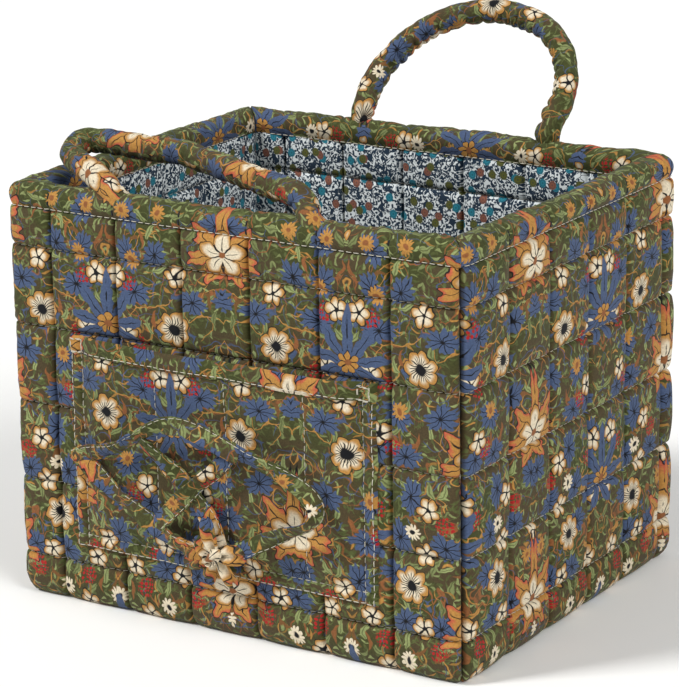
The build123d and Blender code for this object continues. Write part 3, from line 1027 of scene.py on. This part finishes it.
# A handle lies in a plane through its hinge line (y and z), leaned inwards or outwards from
# upright by lean degrees. route gives its corners there, across and away from the hinge, each
# rounded to one of radii. wrinkle is how strongly its sleeve gathers on the inner side of the
# bend, and seam where its seam lies, in radians round from that side. sink is how far the line
# is let down towards its feet, and slant how far each stub runs on along the rim. bend is where
# the sleeve begins and ends to turn with the handle: a way in degrees from upright, and two
# distances past the hinge along it. Lengths are in millimetres.
Handle = namedtuple("Handle", "body hinge lean route radii wrinkle seam seed sink slant bend")
HANDLES = (
    Handle(
        body="front_handle", hinge=(-117.5, 252.8), lean=80.0,
        route=((51.0, 0.0), (42.9, 14.04), (-64.96, 51.84), (-139.0, 54.0), (-128.8, 28.08),
               (-79.0, 0.0)),
        radii=(20.0, 60.0, 13.0, 18.0), wrinkle=0.62, seam=1.9, seed=5, sink=6.0,
        slant=(9.0, 11.0), bend=(48.0, 1.0, 11.0)),
    Handle(
        body="back_handle", hinge=(117.5, 252.8), lean=46.0,
        route=((-61.5, 0.0), (-63.125, 36.55), (-38.1, 73.1), (3.5, 85.0), (45.1, 73.1),
               (70.125, 36.55), (68.5, 0.0)),
        radii=(60.0, 62.0, 64.0, 62.0, 60.0), wrinkle=1.15, seam=0.6, seed=8, sink=0.0,
        slant=(0.0, 0.0), bend=(46.0, -3.0, 13.0)),
)
HANDLE_RADIUS = 7.5
HANDLE_STEP = 0.8
SINK_REACH = 30
# One gather of a sleeve
GATHER_LENGTH = 8.2


def rounded(points, radii):
    """A route with its corners rounded, each by a curve from one tangent point to the other."""
    points = np.asarray(points, float)
    line = [points[0]]
    for before, corner, after, radius in zip(points, points[1:], points[2:], radii):
        back, ahead = before - corner, after - corner
        back_way, ahead_way = back / np.linalg.norm(back), ahead / np.linalg.norm(ahead)
        half = math.acos(np.clip(-back_way @ ahead_way, -1, 1)) / 2
        cut = min(radius * math.tan(half), 0.49 * min(np.linalg.norm(back),
                                                      np.linalg.norm(ahead)))
        for t in np.linspace(0, 1, 14):
            line.append((1 - t) ** 2 * (corner + back_way * cut) + 2 * t * (1 - t) * corner
                        + t ** 2 * (corner + ahead_way * cut))
    return np.array(line + [points[-1]])


def handle_line(handle):
    """Middle line of a handle, with a short stub at each foot that goes down into the rim."""
    lean = math.radians(handle.lean)
    y, z = handle.hinge
    flat = even_steps(rounded(handle.route, handle.radii), HANDLE_STEP)
    loop = np.stack([flat[:, 0], y + flat[:, 1] * math.sin(lean),
                     z + flat[:, 1] * math.cos(lean)], axis=1)
    count = np.arange(len(loop))
    to_foot = HANDLE_STEP * np.minimum(count, count[::-1])
    share = eased(np.clip(1 - to_foot / SINK_REACH, 0, 1))
    loop[:, 1] += 0.2 * handle.sink * share
    loop[:, 2] -= handle.sink * share
    foot = z - RIM_TOP + 2.5
    stub = np.arange(foot, 0, -HANDLE_STEP)
    ends = []
    for end, slant in zip((loop[0], loop[-1]), handle.slant):
        ends.append(np.stack([end[0] + slant * stub / foot, np.full(len(stub), end[1]),
                              end[2] - (foot - 0.4 * handle.sink) * stub / foot], axis=1))
    return eased_line(np.concatenate([ends[0], loop, ends[1][::-1]]), HANDLE_STEP, 7.0)


def inner_side(line, ways):
    """The way from a line to the inside of its loop, carried along it without a twist."""
    middle = len(line) // 2
    inner = np.zeros_like(line)
    start = line.mean(0) - line[middle]
    inner[middle] = start - (start @ ways[middle]) * ways[middle]
    for order, back in ((range(middle + 1, len(line)), -1), (range(middle - 1, -1, -1), 1)):
        for i in order:
            inner[i] = inner[i + back] - (inner[i + back] @ ways[i]) * ways[i]
            inner[i] /= np.linalg.norm(inner[i])
    inner[middle] /= np.linalg.norm(inner[middle])
    return inner


def handle_swell(handle, s, t, length):
    """How far a sleeve stands out, at s along it and t round it from its inner side."""
    inside = (0.5 + 0.5 * np.cos(t)) ** 1.3
    gathers = np.sin(math.pi * s / GATHER_LENGTH + 1.5 * np.sin(s / 11.3) + 0.6 * np.sin(t))
    uneven = 1 + 0.45 * ripple(s, 0 * s, 31, handle.seed + 2)
    swell = handle.wrinkle * inside * (1.7 * np.abs(gathers) ** 0.6 - 1.1) * uneven
    # the lumps of the filling, and the fine crumple of the cloth
    around_a, around_b = 6 * np.cos(t), 6 * np.sin(t)
    swell = swell + 0.42 * ripple(s * 0.8 + around_a, around_b, 17, handle.seed)
    swell = swell + 0.20 * ripple(s + around_a, around_b, 6, handle.seed + 1)
    # the seam: a groove, and the turning's ridge beside it
    gap = np.angle(np.exp(1j * (t - handle.seam))) * HANDLE_RADIUS
    swell = swell - groove(gap, (0.55, 0.8)) + groove(gap - 1.8, (0.35, 1.1))
    # each end is gathered in where it enters the rim
    to_end = np.minimum(s, length - s)
    swell = swell + 0.8 * np.exp(-to_end / 9.0) * np.sin(9 * t + 0.4 * s)
    return swell - 1.6 * np.exp(-to_end / 6.0)


def handle_sleeve(name, handle, thickness):
    """The ruched sleeve over a handle's filling, gathered where it enters the rim."""
    line = handle_line(handle)
    ways = np.gradient(line, axis=0)
    ways /= np.linalg.norm(ways, axis=1)[:, None]
    inner = inner_side(line, ways)
    side = np.cross(ways, inner)
    way = length_along(line)
    s, t = np.meshgrid(way, np.linspace(0, 2 * math.pi, 45), indexing="ij")
    radius = HANDLE_RADIUS - 0.35 + handle_swell(handle, s, t, way[-1])
    points = (line[:, None, :] + radius[..., None] * (np.cos(t)[..., None] * inner[:, None, :]
              + np.sin(t)[..., None] * side[:, None, :]))
    lay = np.stack([t * HANDLE_RADIUS + 60 * handle.seed, s + 37], axis=-1)
    return cloth(name, points, lay, thickness, wrap=True)


class BASKET_OT_handles(Operator):
    """Makes the two padded loop handles"""

    bl_idname = "basket.handles"
    bl_label = "Loop handles"

    def execute(self, context):
        sizes = context.scene.basket.sizes
        for handle in HANDLES:
            sleeve = handle_sleeve(f"{handle.body}_sleeve", handle, sizes.cloth_thickness)
            outward_normals(sleeve)
            finish_piece(sleeve, print_of(context.scene), "printed_cotton", None,
                         f"{handle.body}_cover", f"{handle.body}_filling")
            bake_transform(sleeve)
        return {"FINISHED"}


# ---------------------------------------------------------------- pocket


# Seams of the pocket, from its left edge and from its lower edge. The outer ones are the
# second row of stitches that holds it on.
POCKET_COLUMNS = (8.0, 61.0, 108.0, 160.0, 196.0)
POCKET_ROWS = (8.0, 34.7, 81.2)
# Section of the hem's band: out from the pocket's face, and up from the hem's lower edge
HEM_SECTION = ((0.0, -0.6), (0.9, 1.2), (1.1, 4.6), (1.0, 8.0), (0.3, 9.9), (-0.9, 10.3),
               (-2.2, 9.6), (-2.7, 7.0), (-2.7, 2.0), (-2.2, -0.5), (-1.2, -1.0), (0.0, -0.6))
# The hem stands out as far as the pocket does at this height
HEM_LEVEL = HEM_BOTTOM + 3.0
# Where the pocket is cut from the print, along and up it
POCKET_CUT = (113, 41)


def pocket_out(x, z):
    """How far the pocket stands out from the front's seams, over its width and height."""
    across, up = x - POCKET_LEFT, z - POCKET_BOTTOM
    width, height = POCKET_RIGHT - POCKET_LEFT, POCKET_TOP - POCKET_BOTTOM
    columns = (0.0, *POCKET_COLUMNS, width)
    rows = (0.0, *POCKET_ROWS, HEM_BOTTOM - POCKET_BOTTOM, height)
    # the turned edges are sewn down, and the rest stands out over them
    edge = np.minimum(np.minimum(across, width - across), up)
    out = 3.4 + (POCKET_FACE - 5.2) * eased(np.clip((edge - 7.5) / 13, 0, 1))
    # the quilting, weaker across its level seams than on the walls
    fill_x, _ = between(across, columns)
    fill_z, _ = between(up, rows)
    weak = 1 - 0.55 * np.clip(1 - nearest(up, POCKET_ROWS[1:]) / 9, 0, 1) * (1 - fill_z)
    out = out + 2.0 * fill_x ** 0.8 * np.maximum(fill_z, 0.45 * (up > 12)) ** 0.7 * weak
    # the mouth sags open a little
    mouth = np.clip((up - height + 42) / 42, 0, 1) ** 2
    belly = np.sin(math.pi * np.clip(across / width, 0, 1)) ** 0.7
    out = out + mouth * belly * (2.3 + 1.0 * ripple(across, 0 * up, 78, 201))
    # unevenness, and puckers beside the seams
    out = out + 0.35 * ripple(across, up, 24, 202)
    near_x, near_z = nearest(across, columns), nearest(up, rows)
    out = out + 0.30 * np.exp(-near_z / 6) * ripple(across, up * 0.2, 7, 203)
    out = out + 0.26 * np.exp(-near_x / 6) * ripple(across * 0.2, up, 7, 204)
    return out - 2.4 * np.exp(-edge / 0.7)


def pocket_face(thickness):
    """The quilted face of the pocket, with its turned edges."""
    columns = (POCKET_LEFT, POCKET_LEFT + 1.6, *(POCKET_LEFT + c for c in POCKET_COLUMNS),
               POCKET_RIGHT - 1.6, POCKET_RIGHT)
    rows = (POCKET_BOTTOM, POCKET_BOTTOM + 1.6, *(POCKET_BOTTOM + r for r in POCKET_ROWS),
            HEM_BOTTOM + 1)
    x, z = np.meshgrid(steps(columns, 28), steps(rows, 28))
    points = np.stack([x, -HALF_DEPTH - pocket_out(x, z), z], axis=-1)
    lay = np.stack([x + POCKET_CUT[0], z + POCKET_CUT[1]], axis=-1)
    return cloth("pocket_quilt", points, lay, thickness)


def pocket_hem():
    """The folded band at the pocket's mouth."""
    profile = eased_line(HEM_SECTION, 0.6, 1.2)
    profile[-1] = profile[0]
    ends = (0.0, *POCKET_COLUMNS, POCKET_RIGHT - POCKET_LEFT)
    across = steps(tuple(POCKET_LEFT + c for c in ends), 26, 0.3)
    a, k = np.meshgrid(across, np.arange(len(profile)))
    z = HEM_BOTTOM + profile[:, 1][k]
    sag = 0.5 * ripple(a, 0 * a, 46, 210)
    out = pocket_out(a, np.full_like(a, HEM_LEVEL)) + profile[:, 0][k]
    out = out + 0.25 * ripple(a, z, 9, 211)
    points = np.stack([a, -HALF_DEPTH - out, z + sag], axis=-1)
    lay = np.stack([a + POCKET_CUT[0], z + POCKET_CUT[1] + 19], axis=-1)
    hem = cloth("pocket_hem_band", points, lay, wrap=True)
    close_ends(hem)
    return hem


class BASKET_OT_pocket(Operator):
    """Makes the quilted patch pocket and the hem at its mouth"""

    bl_idname = "basket.pocket"
    bl_label = "Patch pocket"

    def execute(self, context):
        print_cloth = print_of(context.scene)
        face = pocket_face(context.scene.basket.sizes.cloth_thickness)
        finish_piece(face, print_cloth, "printed_cotton", "basket",
                     "pocket_panel", "pocket_left_turning", "pocket_right_turning",
                     "pocket_bottom_turning")
        hem = pocket_hem()
        finish_piece(hem, print_cloth, "printed_cotton", "basket", "pocket_hem")
        return {"FINISHED"}


# ---------------------------------------------------------------- tie


# The middle of the tie on the front, across and up
TIE_MIDDLE = (-4.0, 91.0)
# A band's points are across and up from there, and out from the pocket's face. Its twist is in
# degrees, at even shares of its length, and lay is where it is cut from the print.
Ribbon = namedtuple("Ribbon", "name node points twist lay")
RIBBONS = (
    Ribbon("tie_left_tail_band", "tie_left_tail",
           ((-95, 7, 0.5), (-80, -3, 2.0), (-66, -12, 3.0), (-48, -22, 3.5), (-28, -33, 3.5),
            (-6, -40, 3.0)), (0, -34, 16, -22, 26, 0), 300),
    Ribbon("tie_top_fold_band", "tie_top_fold",
           ((-96, 3, 0.8), (-82, 9, 2.0), (-64, 14, 4.0), (-44, 27, 7.0), (-24, 37, 8.5),
            (-6, 36, 8.5), (10, 29, 7.0), (22, 24, 5.0)), (0, 26, 52, 58, 30, -34, -38, 0), 420),
    Ribbon("tie_right_loop_band", "tie_right_loop",
           ((14, 27, 4.5), (30, 24, 5.0), (48, 18, 4.5), (66, 10, 4.5), (76, 2, 6.0),
            (72, -7, 8.5), (58, -12, 7.0), (44, -19, 5.5), (30, -27, 4.0), (18, -33, 3.0)),
           (0, 30, 16, -16, -50, -70, -52, -24, 16, 0), 520),
    Ribbon("tie_cross_under_band", "tie_cross_under",
           ((-46, 22, 3.0), (-34, 13, 3.0), (-20, 4, 2.2), (-8, -8, 2.2), (2, -22, 3.0),
            (6, -32, 3.0)), (34, 14, -18, 12, -26, 0), 640),
    Ribbon("tie_cross_over_band", "tie_cross_over",
           ((16, 26, 4.0), (8, 14, 5.0), (-8, 2, 6.0), (-22, -12, 5.0), (-34, -24, 3.5),
            (-44, -31, 2.5)), (22, -28, -44, -18, 18, 0), 730),
)
RIBBON_WIDTH = 10.5
RIBBON_THICKNESS = 1.9
# Section of a band, in shares of half its width and half its thickness
RIBBON_SECTION = (
    (-1.0, 0.0), (-0.96, 0.75), (-0.78, 0.72), (-0.45, 1.35), (0.0, 1.6), (0.45, 1.35),
    (0.78, 0.72), (0.96, 0.75), (1.0, 0.0), (0.96, -0.75), (0.6, -1.0), (0.0, -1.1),
    (-0.6, -1.0), (-0.96, -0.75), (-1.0, 0.0))


def ribbon_frame(ribbon):
    """Middle line of a band at steps of 1 mm, and the ways across it and out of it."""
    route = np.array([(TIE_MIDDLE[0] + x, -HALF_DEPTH - POCKET_FACE - 2.8 - 1.25 * out,
                       TIE_MIDDLE[1] + up)
                      for x, up, out in ribbon.points], float)
    line = eased_line(route, 1.0, 12.0)
    ways = np.gradient(line, axis=0)
    ways /= np.linalg.norm(ways, axis=1)[:, None]
    ahead = np.array([0.0, -1.0, 0.0])
    out = ahead - (ways @ ahead)[:, None] * ways
    out /= np.linalg.norm(out, axis=1)[:, None]
    over = np.cross(out, ways)
    knots = np.linspace(0, 1, len(ribbon.twist))
    turn = np.radians(np.interp(np.linspace(0, 1, len(line)), knots, ribbon.twist))[:, None]
    wide = over * np.cos(turn) + out * np.sin(turn)
    face = out * np.cos(turn) - over * np.sin(turn)
    return line, wide, face


def ribbon_piece(ribbon):
    """A folded and topstitched band of the print, a little crowned between its seams."""
    line, wide, face = ribbon_frame(ribbon)
    section = np.array(RIBBON_SECTION) * (RIBBON_WIDTH / 2, RIBBON_THICKNESS / 2)
    way = np.arange(len(line), dtype=float)
    s, k = np.meshgrid(way, np.arange(len(section)), indexing="ij")
    across, up = section[:, 0][k], section[:, 1][k]
    # a crease runs along the face, a little to one side of its middle
    crease = groove(across + 1.4, (0.55, 0.9)) * (up > 0)
    up = up + 0.40 * ripple(s, across, 9, ribbon.lay) - crease
    across = across * (1 + 0.06 * ripple(s, 0 * s, 17, ribbon.lay + 1))
    points = (line[:, None, :] + across[..., None] * wide[:, None, :]
              + up[..., None] * face[:, None, :])
    lay = np.stack([length_along(section)[k] + ribbon.lay, s + 0.37 * ribbon.lay], axis=-1)
    band = cloth(ribbon.name, points, lay, wrap=True)
    close_ends(band)
    return band, len(line) - 1.0


# The knot's middle, across and up from the tie's middle
KNOT = (4.0, -37.0)
# Pleated folds of the knot: way in degrees, length, width and lift. The last wraps the others.
KNOT_FOLDS = (
    (203, 25, 12.0, 2.0), (-118, 20, 11.5, 3.2), (-58, 19, 12.0, 4.6), (158, 16, 10.0, 5.2),
    (10, 19, 12.0, 6.0), (106, 21, 13.0, 7.2), (38, 13, 9.0, 9.6),
)
# The knot is cut from the middle of a large pale bloom of the print
KNOT_BLOOM = (160.0, 113.5)
KNOT_WRAP = f"tie_knot_fold_{len(KNOT_FOLDS)}"


def knot_fold(name, number, way, length, width, lift):
    """A pleated fold of the knot, pinched at the knot's middle and rounded at its free end."""
    u, v = np.meshgrid(np.linspace(0, 1, 30), np.linspace(0, 2 * math.pi, 49))
    wrap = name == KNOT_WRAP
    spread = 0.34 + 0.66 * np.sin(math.pi / 2 * np.minimum(1, u / 0.55))
    end = np.sqrt(np.clip(1 - np.clip((u - 0.70) / 0.31, 0, 1) ** 2, 0.004, 1))
    half = width / 2 * spread * end
    if wrap:
        half = width / 2 * np.sqrt(np.clip(1 - 0.97 * (2 * u - 1) ** 2, 0.004, 1))
    across = np.cos(v) * half
    pleats = (2.0 - 0.7 * u) * np.sin(math.pi * (1.9 * np.cos(v) * (1 - 0.2 * u) + 0.41 * number))
    curl = 1.5 * (np.cos(v) ** 2) * u
    out = lift + 3.0 * np.sin(2.6 * u) + 1.25 * np.sin(v) * end + pleats * end - curl
    run = length * (u - (0.5 if wrap else 0.0)) * (1 + 0.09 * np.sin(3 * v + number))
    a, b = math.radians(way), math.radians(way + 37 * number)
    x = TIE_MIDDLE[0] + KNOT[0] + run * math.cos(a) - across * math.sin(a)
    z = TIE_MIDDLE[1] + KNOT[1] + run * math.sin(a) + across * math.cos(a)
    y = -HALF_DEPTH - POCKET_FACE - 1.0 - out
    lay = np.stack([KNOT_BLOOM[0] + run * math.cos(b) - across * math.sin(b),
                    KNOT_BLOOM[1] + run * math.sin(b) + across * math.cos(b)], axis=-1)
    fold = cloth(name, np.stack([x, y, z], axis=-1), lay, wrap=True)
    close_ends(fold)
    return fold


class BASKET_OT_tie(Operator):
    """Makes the tie: its bands looped over each other and the gathered knot"""

    bl_idname = "basket.tie"
    bl_label = "Tie"

    def execute(self, context):
        print_cloth = print_of(context.scene)
        for ribbon in RIBBONS:
            band, length = ribbon_piece(ribbon)
            finish_piece(band, print_cloth, "tie_cotton", "basket", ribbon.node)
        for number, shape in enumerate(KNOT_FOLDS):
            fold = knot_fold(f"tie_knot_fold_{number + 1}", number, *shape)
            finish_piece(fold, print_cloth, "tie_cotton", "basket",
                         *(["tie_knot"] if fold.name == KNOT_WRAP else []))
        return {"FINISHED"}


# ---------------------------------------------------------------- stitching


# Points along a run of stitches, on the pocket and the lining, across a wall, and up a wall and
# over the rim
RUN_POINTS, ROW_POINTS, COLUMN_POINTS, RIM_POINTS = 200, 260, 240, 40
# Where the rim's stitches lie round it, from its outer seam at 0 to the facing at 1
RIM_STITCHES, FACING_STITCHES = 0.03, 0.965
# The two rows round the pocket, in from its edge
POCKET_STITCHES = (1.8, 8.0)


def sew_side(side, sizes, light, dark):
    """Sews the cross rows and the upright rows of a wall and its rim, and its lining."""
    rise, lining_rise = sizes.quilt_rise / MM, sizes.lining_rise / MM
    columns = [float(column) for column in COLUMNS[side]]
    end = side_length(side) - 1.5
    across, out = np.linspace(-end, end, ROW_POINTS), outward(side, ROW_POINTS)
    runs = [(wall_surface(side, across, np.full(ROW_POINTS, z - FOOT_RISE), rise) + 1.0 * out,
             out) for z in ROWS]
    rim = rim_surface(side, across, np.full(ROW_POINTS, RIM_STITCHES)) + 0.35 * out
    sew(f"{side}_row_stitches", runs + [(rim, out)], light, sizes)

    up = np.linspace(-4, RIM_SEAM - FOOT_RISE - 0.5, COLUMN_POINTS)
    out = outward(side, COLUMN_POINTS)
    runs = [(wall_surface(side, np.full(COLUMN_POINTS, column), up, rise) + 0.25 * out, out)
            for column in columns]
    # over the rim the stitches' outward direction turns from level to upright
    around = np.linspace(0.05, 0.40, RIM_POINTS)
    over = (outward(side, RIM_POINTS) * (1 - around[:, None] * 2)
            + np.outer(around * 2, (0.0, 0.0, 1.0)))
    runs += [(rim_surface(side, np.full(RIM_POINTS, column), around) + 0.3 * over, over)
             for column in columns]
    # the upright rows are 2.2 times as thick as the thread: part real dark thread, part painted
    # shadow in the seam's groove
    sew(f"{side}_column_stitches", runs, dark, sizes, heavy=2.2)

    inside = -outward(side, RUN_POINTS)
    level = np.linspace(-end + 14, end - 14, RUN_POINTS)
    runs = [(lining_surface(side, level, np.full(RUN_POINTS, z), lining_rise) + 0.25 * inside,
             inside) for z in ROWS]
    facing = rim_surface(side, level, np.full(RUN_POINTS, FACING_STITCHES)) + 0.3 * inside
    sew(f"{side}_lining_stitches", runs + [(facing, inside)], light, sizes)


def on_pocket(x, z, lift, level=None):
    """A run of stitches on the pocket, which may stand out as the pocket does at one level."""
    x, z = np.broadcast_arrays(x, z)
    out = pocket_out(x, z if level is None else np.full(len(x), level))
    return np.stack([x, -HALF_DEPTH - out - lift, z], axis=1), outward("front", len(x))


def sew_pocket(sizes, light):
    """Sews the pocket's edge and hem, its quilting and the squares at the ends of its mouth."""
    width = POCKET_RIGHT - POCKET_LEFT
    z = np.linspace(POCKET_BOTTOM + 1, HEM_BOTTOM, RUN_POINTS)
    x = np.linspace(POCKET_LEFT + 2, POCKET_RIGHT - 2, RUN_POINTS)
    places = (*POCKET_STITCHES, *(width - place for place in reversed(POCKET_STITCHES)))
    runs = [on_pocket(POCKET_LEFT + place, z, 0.2) for place in places]
    runs += [on_pocket(x, POCKET_BOTTOM + place, 0.2) for place in POCKET_STITCHES]
    x = np.linspace(POCKET_LEFT + 3, POCKET_RIGHT - 3, RUN_POINTS)
    runs.append(on_pocket(x, HEM_BOTTOM + 0.9, 0.75, HEM_LEVEL))
    sew("pocket_stitches", runs, light, sizes)

    z = np.linspace(POCKET_BOTTOM + 9, HEM_BOTTOM, RUN_POINTS)
    runs = [on_pocket(POCKET_LEFT + place, z, 0.1) for place in POCKET_COLUMNS[1:-1]]
    sew("pocket_quilting_stitches", runs, light, sizes)

    # each square is sewn round twice
    low, high = box_mm("pocket_bar_tacks")
    size = high[2] - low[2]
    runs = []
    for start in (low[0], high[0] - size):
        for inset in (0.0, 0.45):
            near, far = start + inset, start + size - inset
            bottom, top = low[2] + inset, high[2] - inset
            square = [(near, bottom), (far, bottom), (far, top), (near, top), (near, bottom)]
            x, z = even_steps(np.array(square, float), 0.5).T
            runs.append(on_pocket(x, z, 1.25, HEM_LEVEL))
    piece = sew("pocket_tack_stitches", runs, light, sizes)
    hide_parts("pocket_bar_tacks")


def sew_tie(sizes, light):
    """Topstitches each band of the tie along one edge."""
    runs = []
    for ribbon in RIBBONS:
        line, wide, face = ribbon_frame(ribbon)
        seam = (line + wide * 0.82 * RIBBON_WIDTH / 2
                + face * (RIBBON_THICKNESS * 0.36 + 0.1))
        runs.append((seam, face))
    sew("tie_stitches", runs, light, sizes, heavy=0.75)


class BASKET_OT_stitching(Operator):
    """Sews the rows of stitches over the quilting, the rim, the pocket and the tie"""

    bl_idname = "basket.stitching"
    bl_label = "Stitching"

    def execute(self, context):
        scene, sizes = context.scene, context.scene.basket.sizes
        light, dark = thread_of(scene, "light"), thread_of(scene, "dark")
        for side in SIDES:
            sew_side(side, sizes, light, dark)
        sew_pocket(sizes, light)
        sew_tie(sizes, light)
        return {"FINISHED"}


# ---------------------------------------------------------------- layers inside the wall


class BASKET_OT_inside(Operator):
    """Gives the stiffening, the wadding and the handle tabs their materials"""

    bl_idname = "basket.inside"
    bl_label = "Layers inside the wall"

    def execute(self, context):
        # open-cell foam sheet, cream, cells near 0.6 mm
        foam = inner_layer("polyurethane foam sheet", "#e6e0cc", "#cfc7ae", 0.0006, 0.9, 0.0004)
        # carded polyester wadding, white, fibres in tufts near 3 mm
        wadding = inner_layer("polyester wadding", "#f2f1ec", "#d9d7cf", 0.003, 0.95, 0.0008)
        # woven cotton tape, undyed, ribs near 1.2 mm
        tape = inner_layer("cotton webbing", "#d8cdb2", "#b3a684", 0.0012, 0.85, 0.0003)
        for name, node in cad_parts.items():
            if node.hide_render:
                continue
            material = foam
            if "wadding" in name:
                material = wadding
            if "tabs" in name:
                material = tape
            node.data.materials.clear()
            node.data.materials.append(material)
        return {"FINISHED"}


# ---------------------------------------------------------------- stage


FLOOR_SIZE = 14
# Each lamp is far off: the direction it shines from, its strength and its width in degrees
LAMPS = (
    ("key", (-0.8, -0.9, 1.25), 2.2, 13),
    ("fill", (1.0, -0.35, 0.85), 1.65, 30),
)
AMBIENT_STRENGTH = 0.37
# The camera's place in metres, its heading from the Y axis, its dip and its roll in degrees,
# and its lens in millimetres
CAMERA_PLACE = (0.9357, -1.4631, 0.6426)
CAMERA_TURNS = (-32.75, 16.09, -0.99)
CAMERA_LENS = 162.1


def make_lamps(scene):
    """Lights the scene softly from all round, with a key lamp and a fill lamp."""
    world = bpy.data.worlds.new("studio")
    scene.world = world
    world.use_nodes = True
    back = world.node_tree.nodes["Background"]
    back.inputs["Color"].default_value = (1.0, 1.0, 1.0, 1.0)
    back.inputs["Strength"].default_value = AMBIENT_STRENGTH
    for name, place, power, width in LAMPS:
        light = bpy.data.lights.new(name, "SUN")
        light.energy, light.angle = power, math.radians(width)
        lamp = bpy.data.objects.new(name, light)
        lamp.rotation_euler = Vector(place).to_track_quat("Z", "Y").to_euler()
        scene.collection.objects.link(lamp)


def make_camera(scene):
    """Sets up the camera, turned by its heading, its dip and then its roll."""
    heading, dip, roll = (math.radians(turn) for turn in CAMERA_TURNS)
    ahead = Vector((math.sin(heading) * math.cos(dip), math.cos(heading) * math.cos(dip),
                    -math.sin(dip)))
    right = Vector((math.cos(heading), -math.sin(heading), 0))
    up = right.cross(ahead)
    across = right * math.cos(roll) + up * math.sin(roll)
    over = up * math.cos(roll) - right * math.sin(roll)
    lens = bpy.data.cameras.new("camera")
    lens.lens = CAMERA_LENS
    lens.clip_start = 0.05
    camera = bpy.data.objects.new("camera", lens)
    turned = Matrix((across, over, -ahead)).transposed().to_4x4()
    camera.matrix_world = Matrix.Translation(CAMERA_PLACE) @ turned
    scene.collection.objects.link(camera)
    scene.camera = camera


class BASKET_OT_stage(Operator):
    """Sets up the pale floor, the soft studio lights and the camera"""

    bl_idname = "basket.stage"
    bl_label = "Floor, lights and camera"

    def execute(self, context):
        scene = context.scene
        # the default view transform would grey the white floor
        scene.view_settings.view_transform = "Standard"
        bpy.ops.object.select_all(action="DESELECT")
        bpy.ops.mesh.primitive_plane_add(size=FLOOR_SIZE, location=(0, 0, 0))
        floor = context.object
        floor.name = "floor"
        # card is smooth and has no gloss, so that it takes only soft shadows
        material, _, shader = new_material("matt white card", roughness=0.9)
        shader.inputs["Base Color"].default_value = (*linear("#f4f4f2"), 1.0)
        floor.data.materials.append(material)
        make_lamps(scene)
        make_camera(scene)
        return {"FINISHED"}


MAKERS = (
    BASKET_OT_stage, BASKET_OT_walls, BASKET_OT_base, BASKET_OT_rim, BASKET_OT_lining,
    BASKET_OT_handles, BASKET_OT_pocket, BASKET_OT_tie, BASKET_OT_stitching, BASKET_OT_inside,
)


class BASKET_PT_panel(Panel):
    """Lists the steps that make the basket"""

    bl_label = "Sewing basket"
    bl_idname = "BASKET_PT_panel"
    bl_space_type = "VIEW_3D"
    bl_region_type = "UI"
    bl_category = "Basket"

    def draw(self, context):
        for maker in MAKERS:
            self.layout.operator(maker.bl_idname)
        for group in (context.scene.basket.sizes, context.scene.basket.colours):
            box = self.layout.box()
            for key in group.bl_rna.properties.keys():
                if key not in ("rna_type", "name"):
                    box.prop(group, key)


CLASSES = (BasketSizes, BasketColours, BasketSettings, *MAKERS, BASKET_PT_panel)


def register():
    """Registers the classes and gives the scene its settings."""
    for item in CLASSES:
        bpy.utils.register_class(item)
    bpy.types.Scene.basket = PointerProperty(type=BasketSettings)


def unregister():
    """Takes the settings and the classes away again."""
    del bpy.types.Scene.basket
    for item in reversed(CLASSES):
        bpy.utils.unregister_class(item)


def main():
    """Makes everything in order."""
    register()
    for maker in MAKERS:
        group, name = maker.bl_idname.split(".")
        getattr(getattr(bpy.ops, group), name)()


if __name__ == "__main__":
    main()
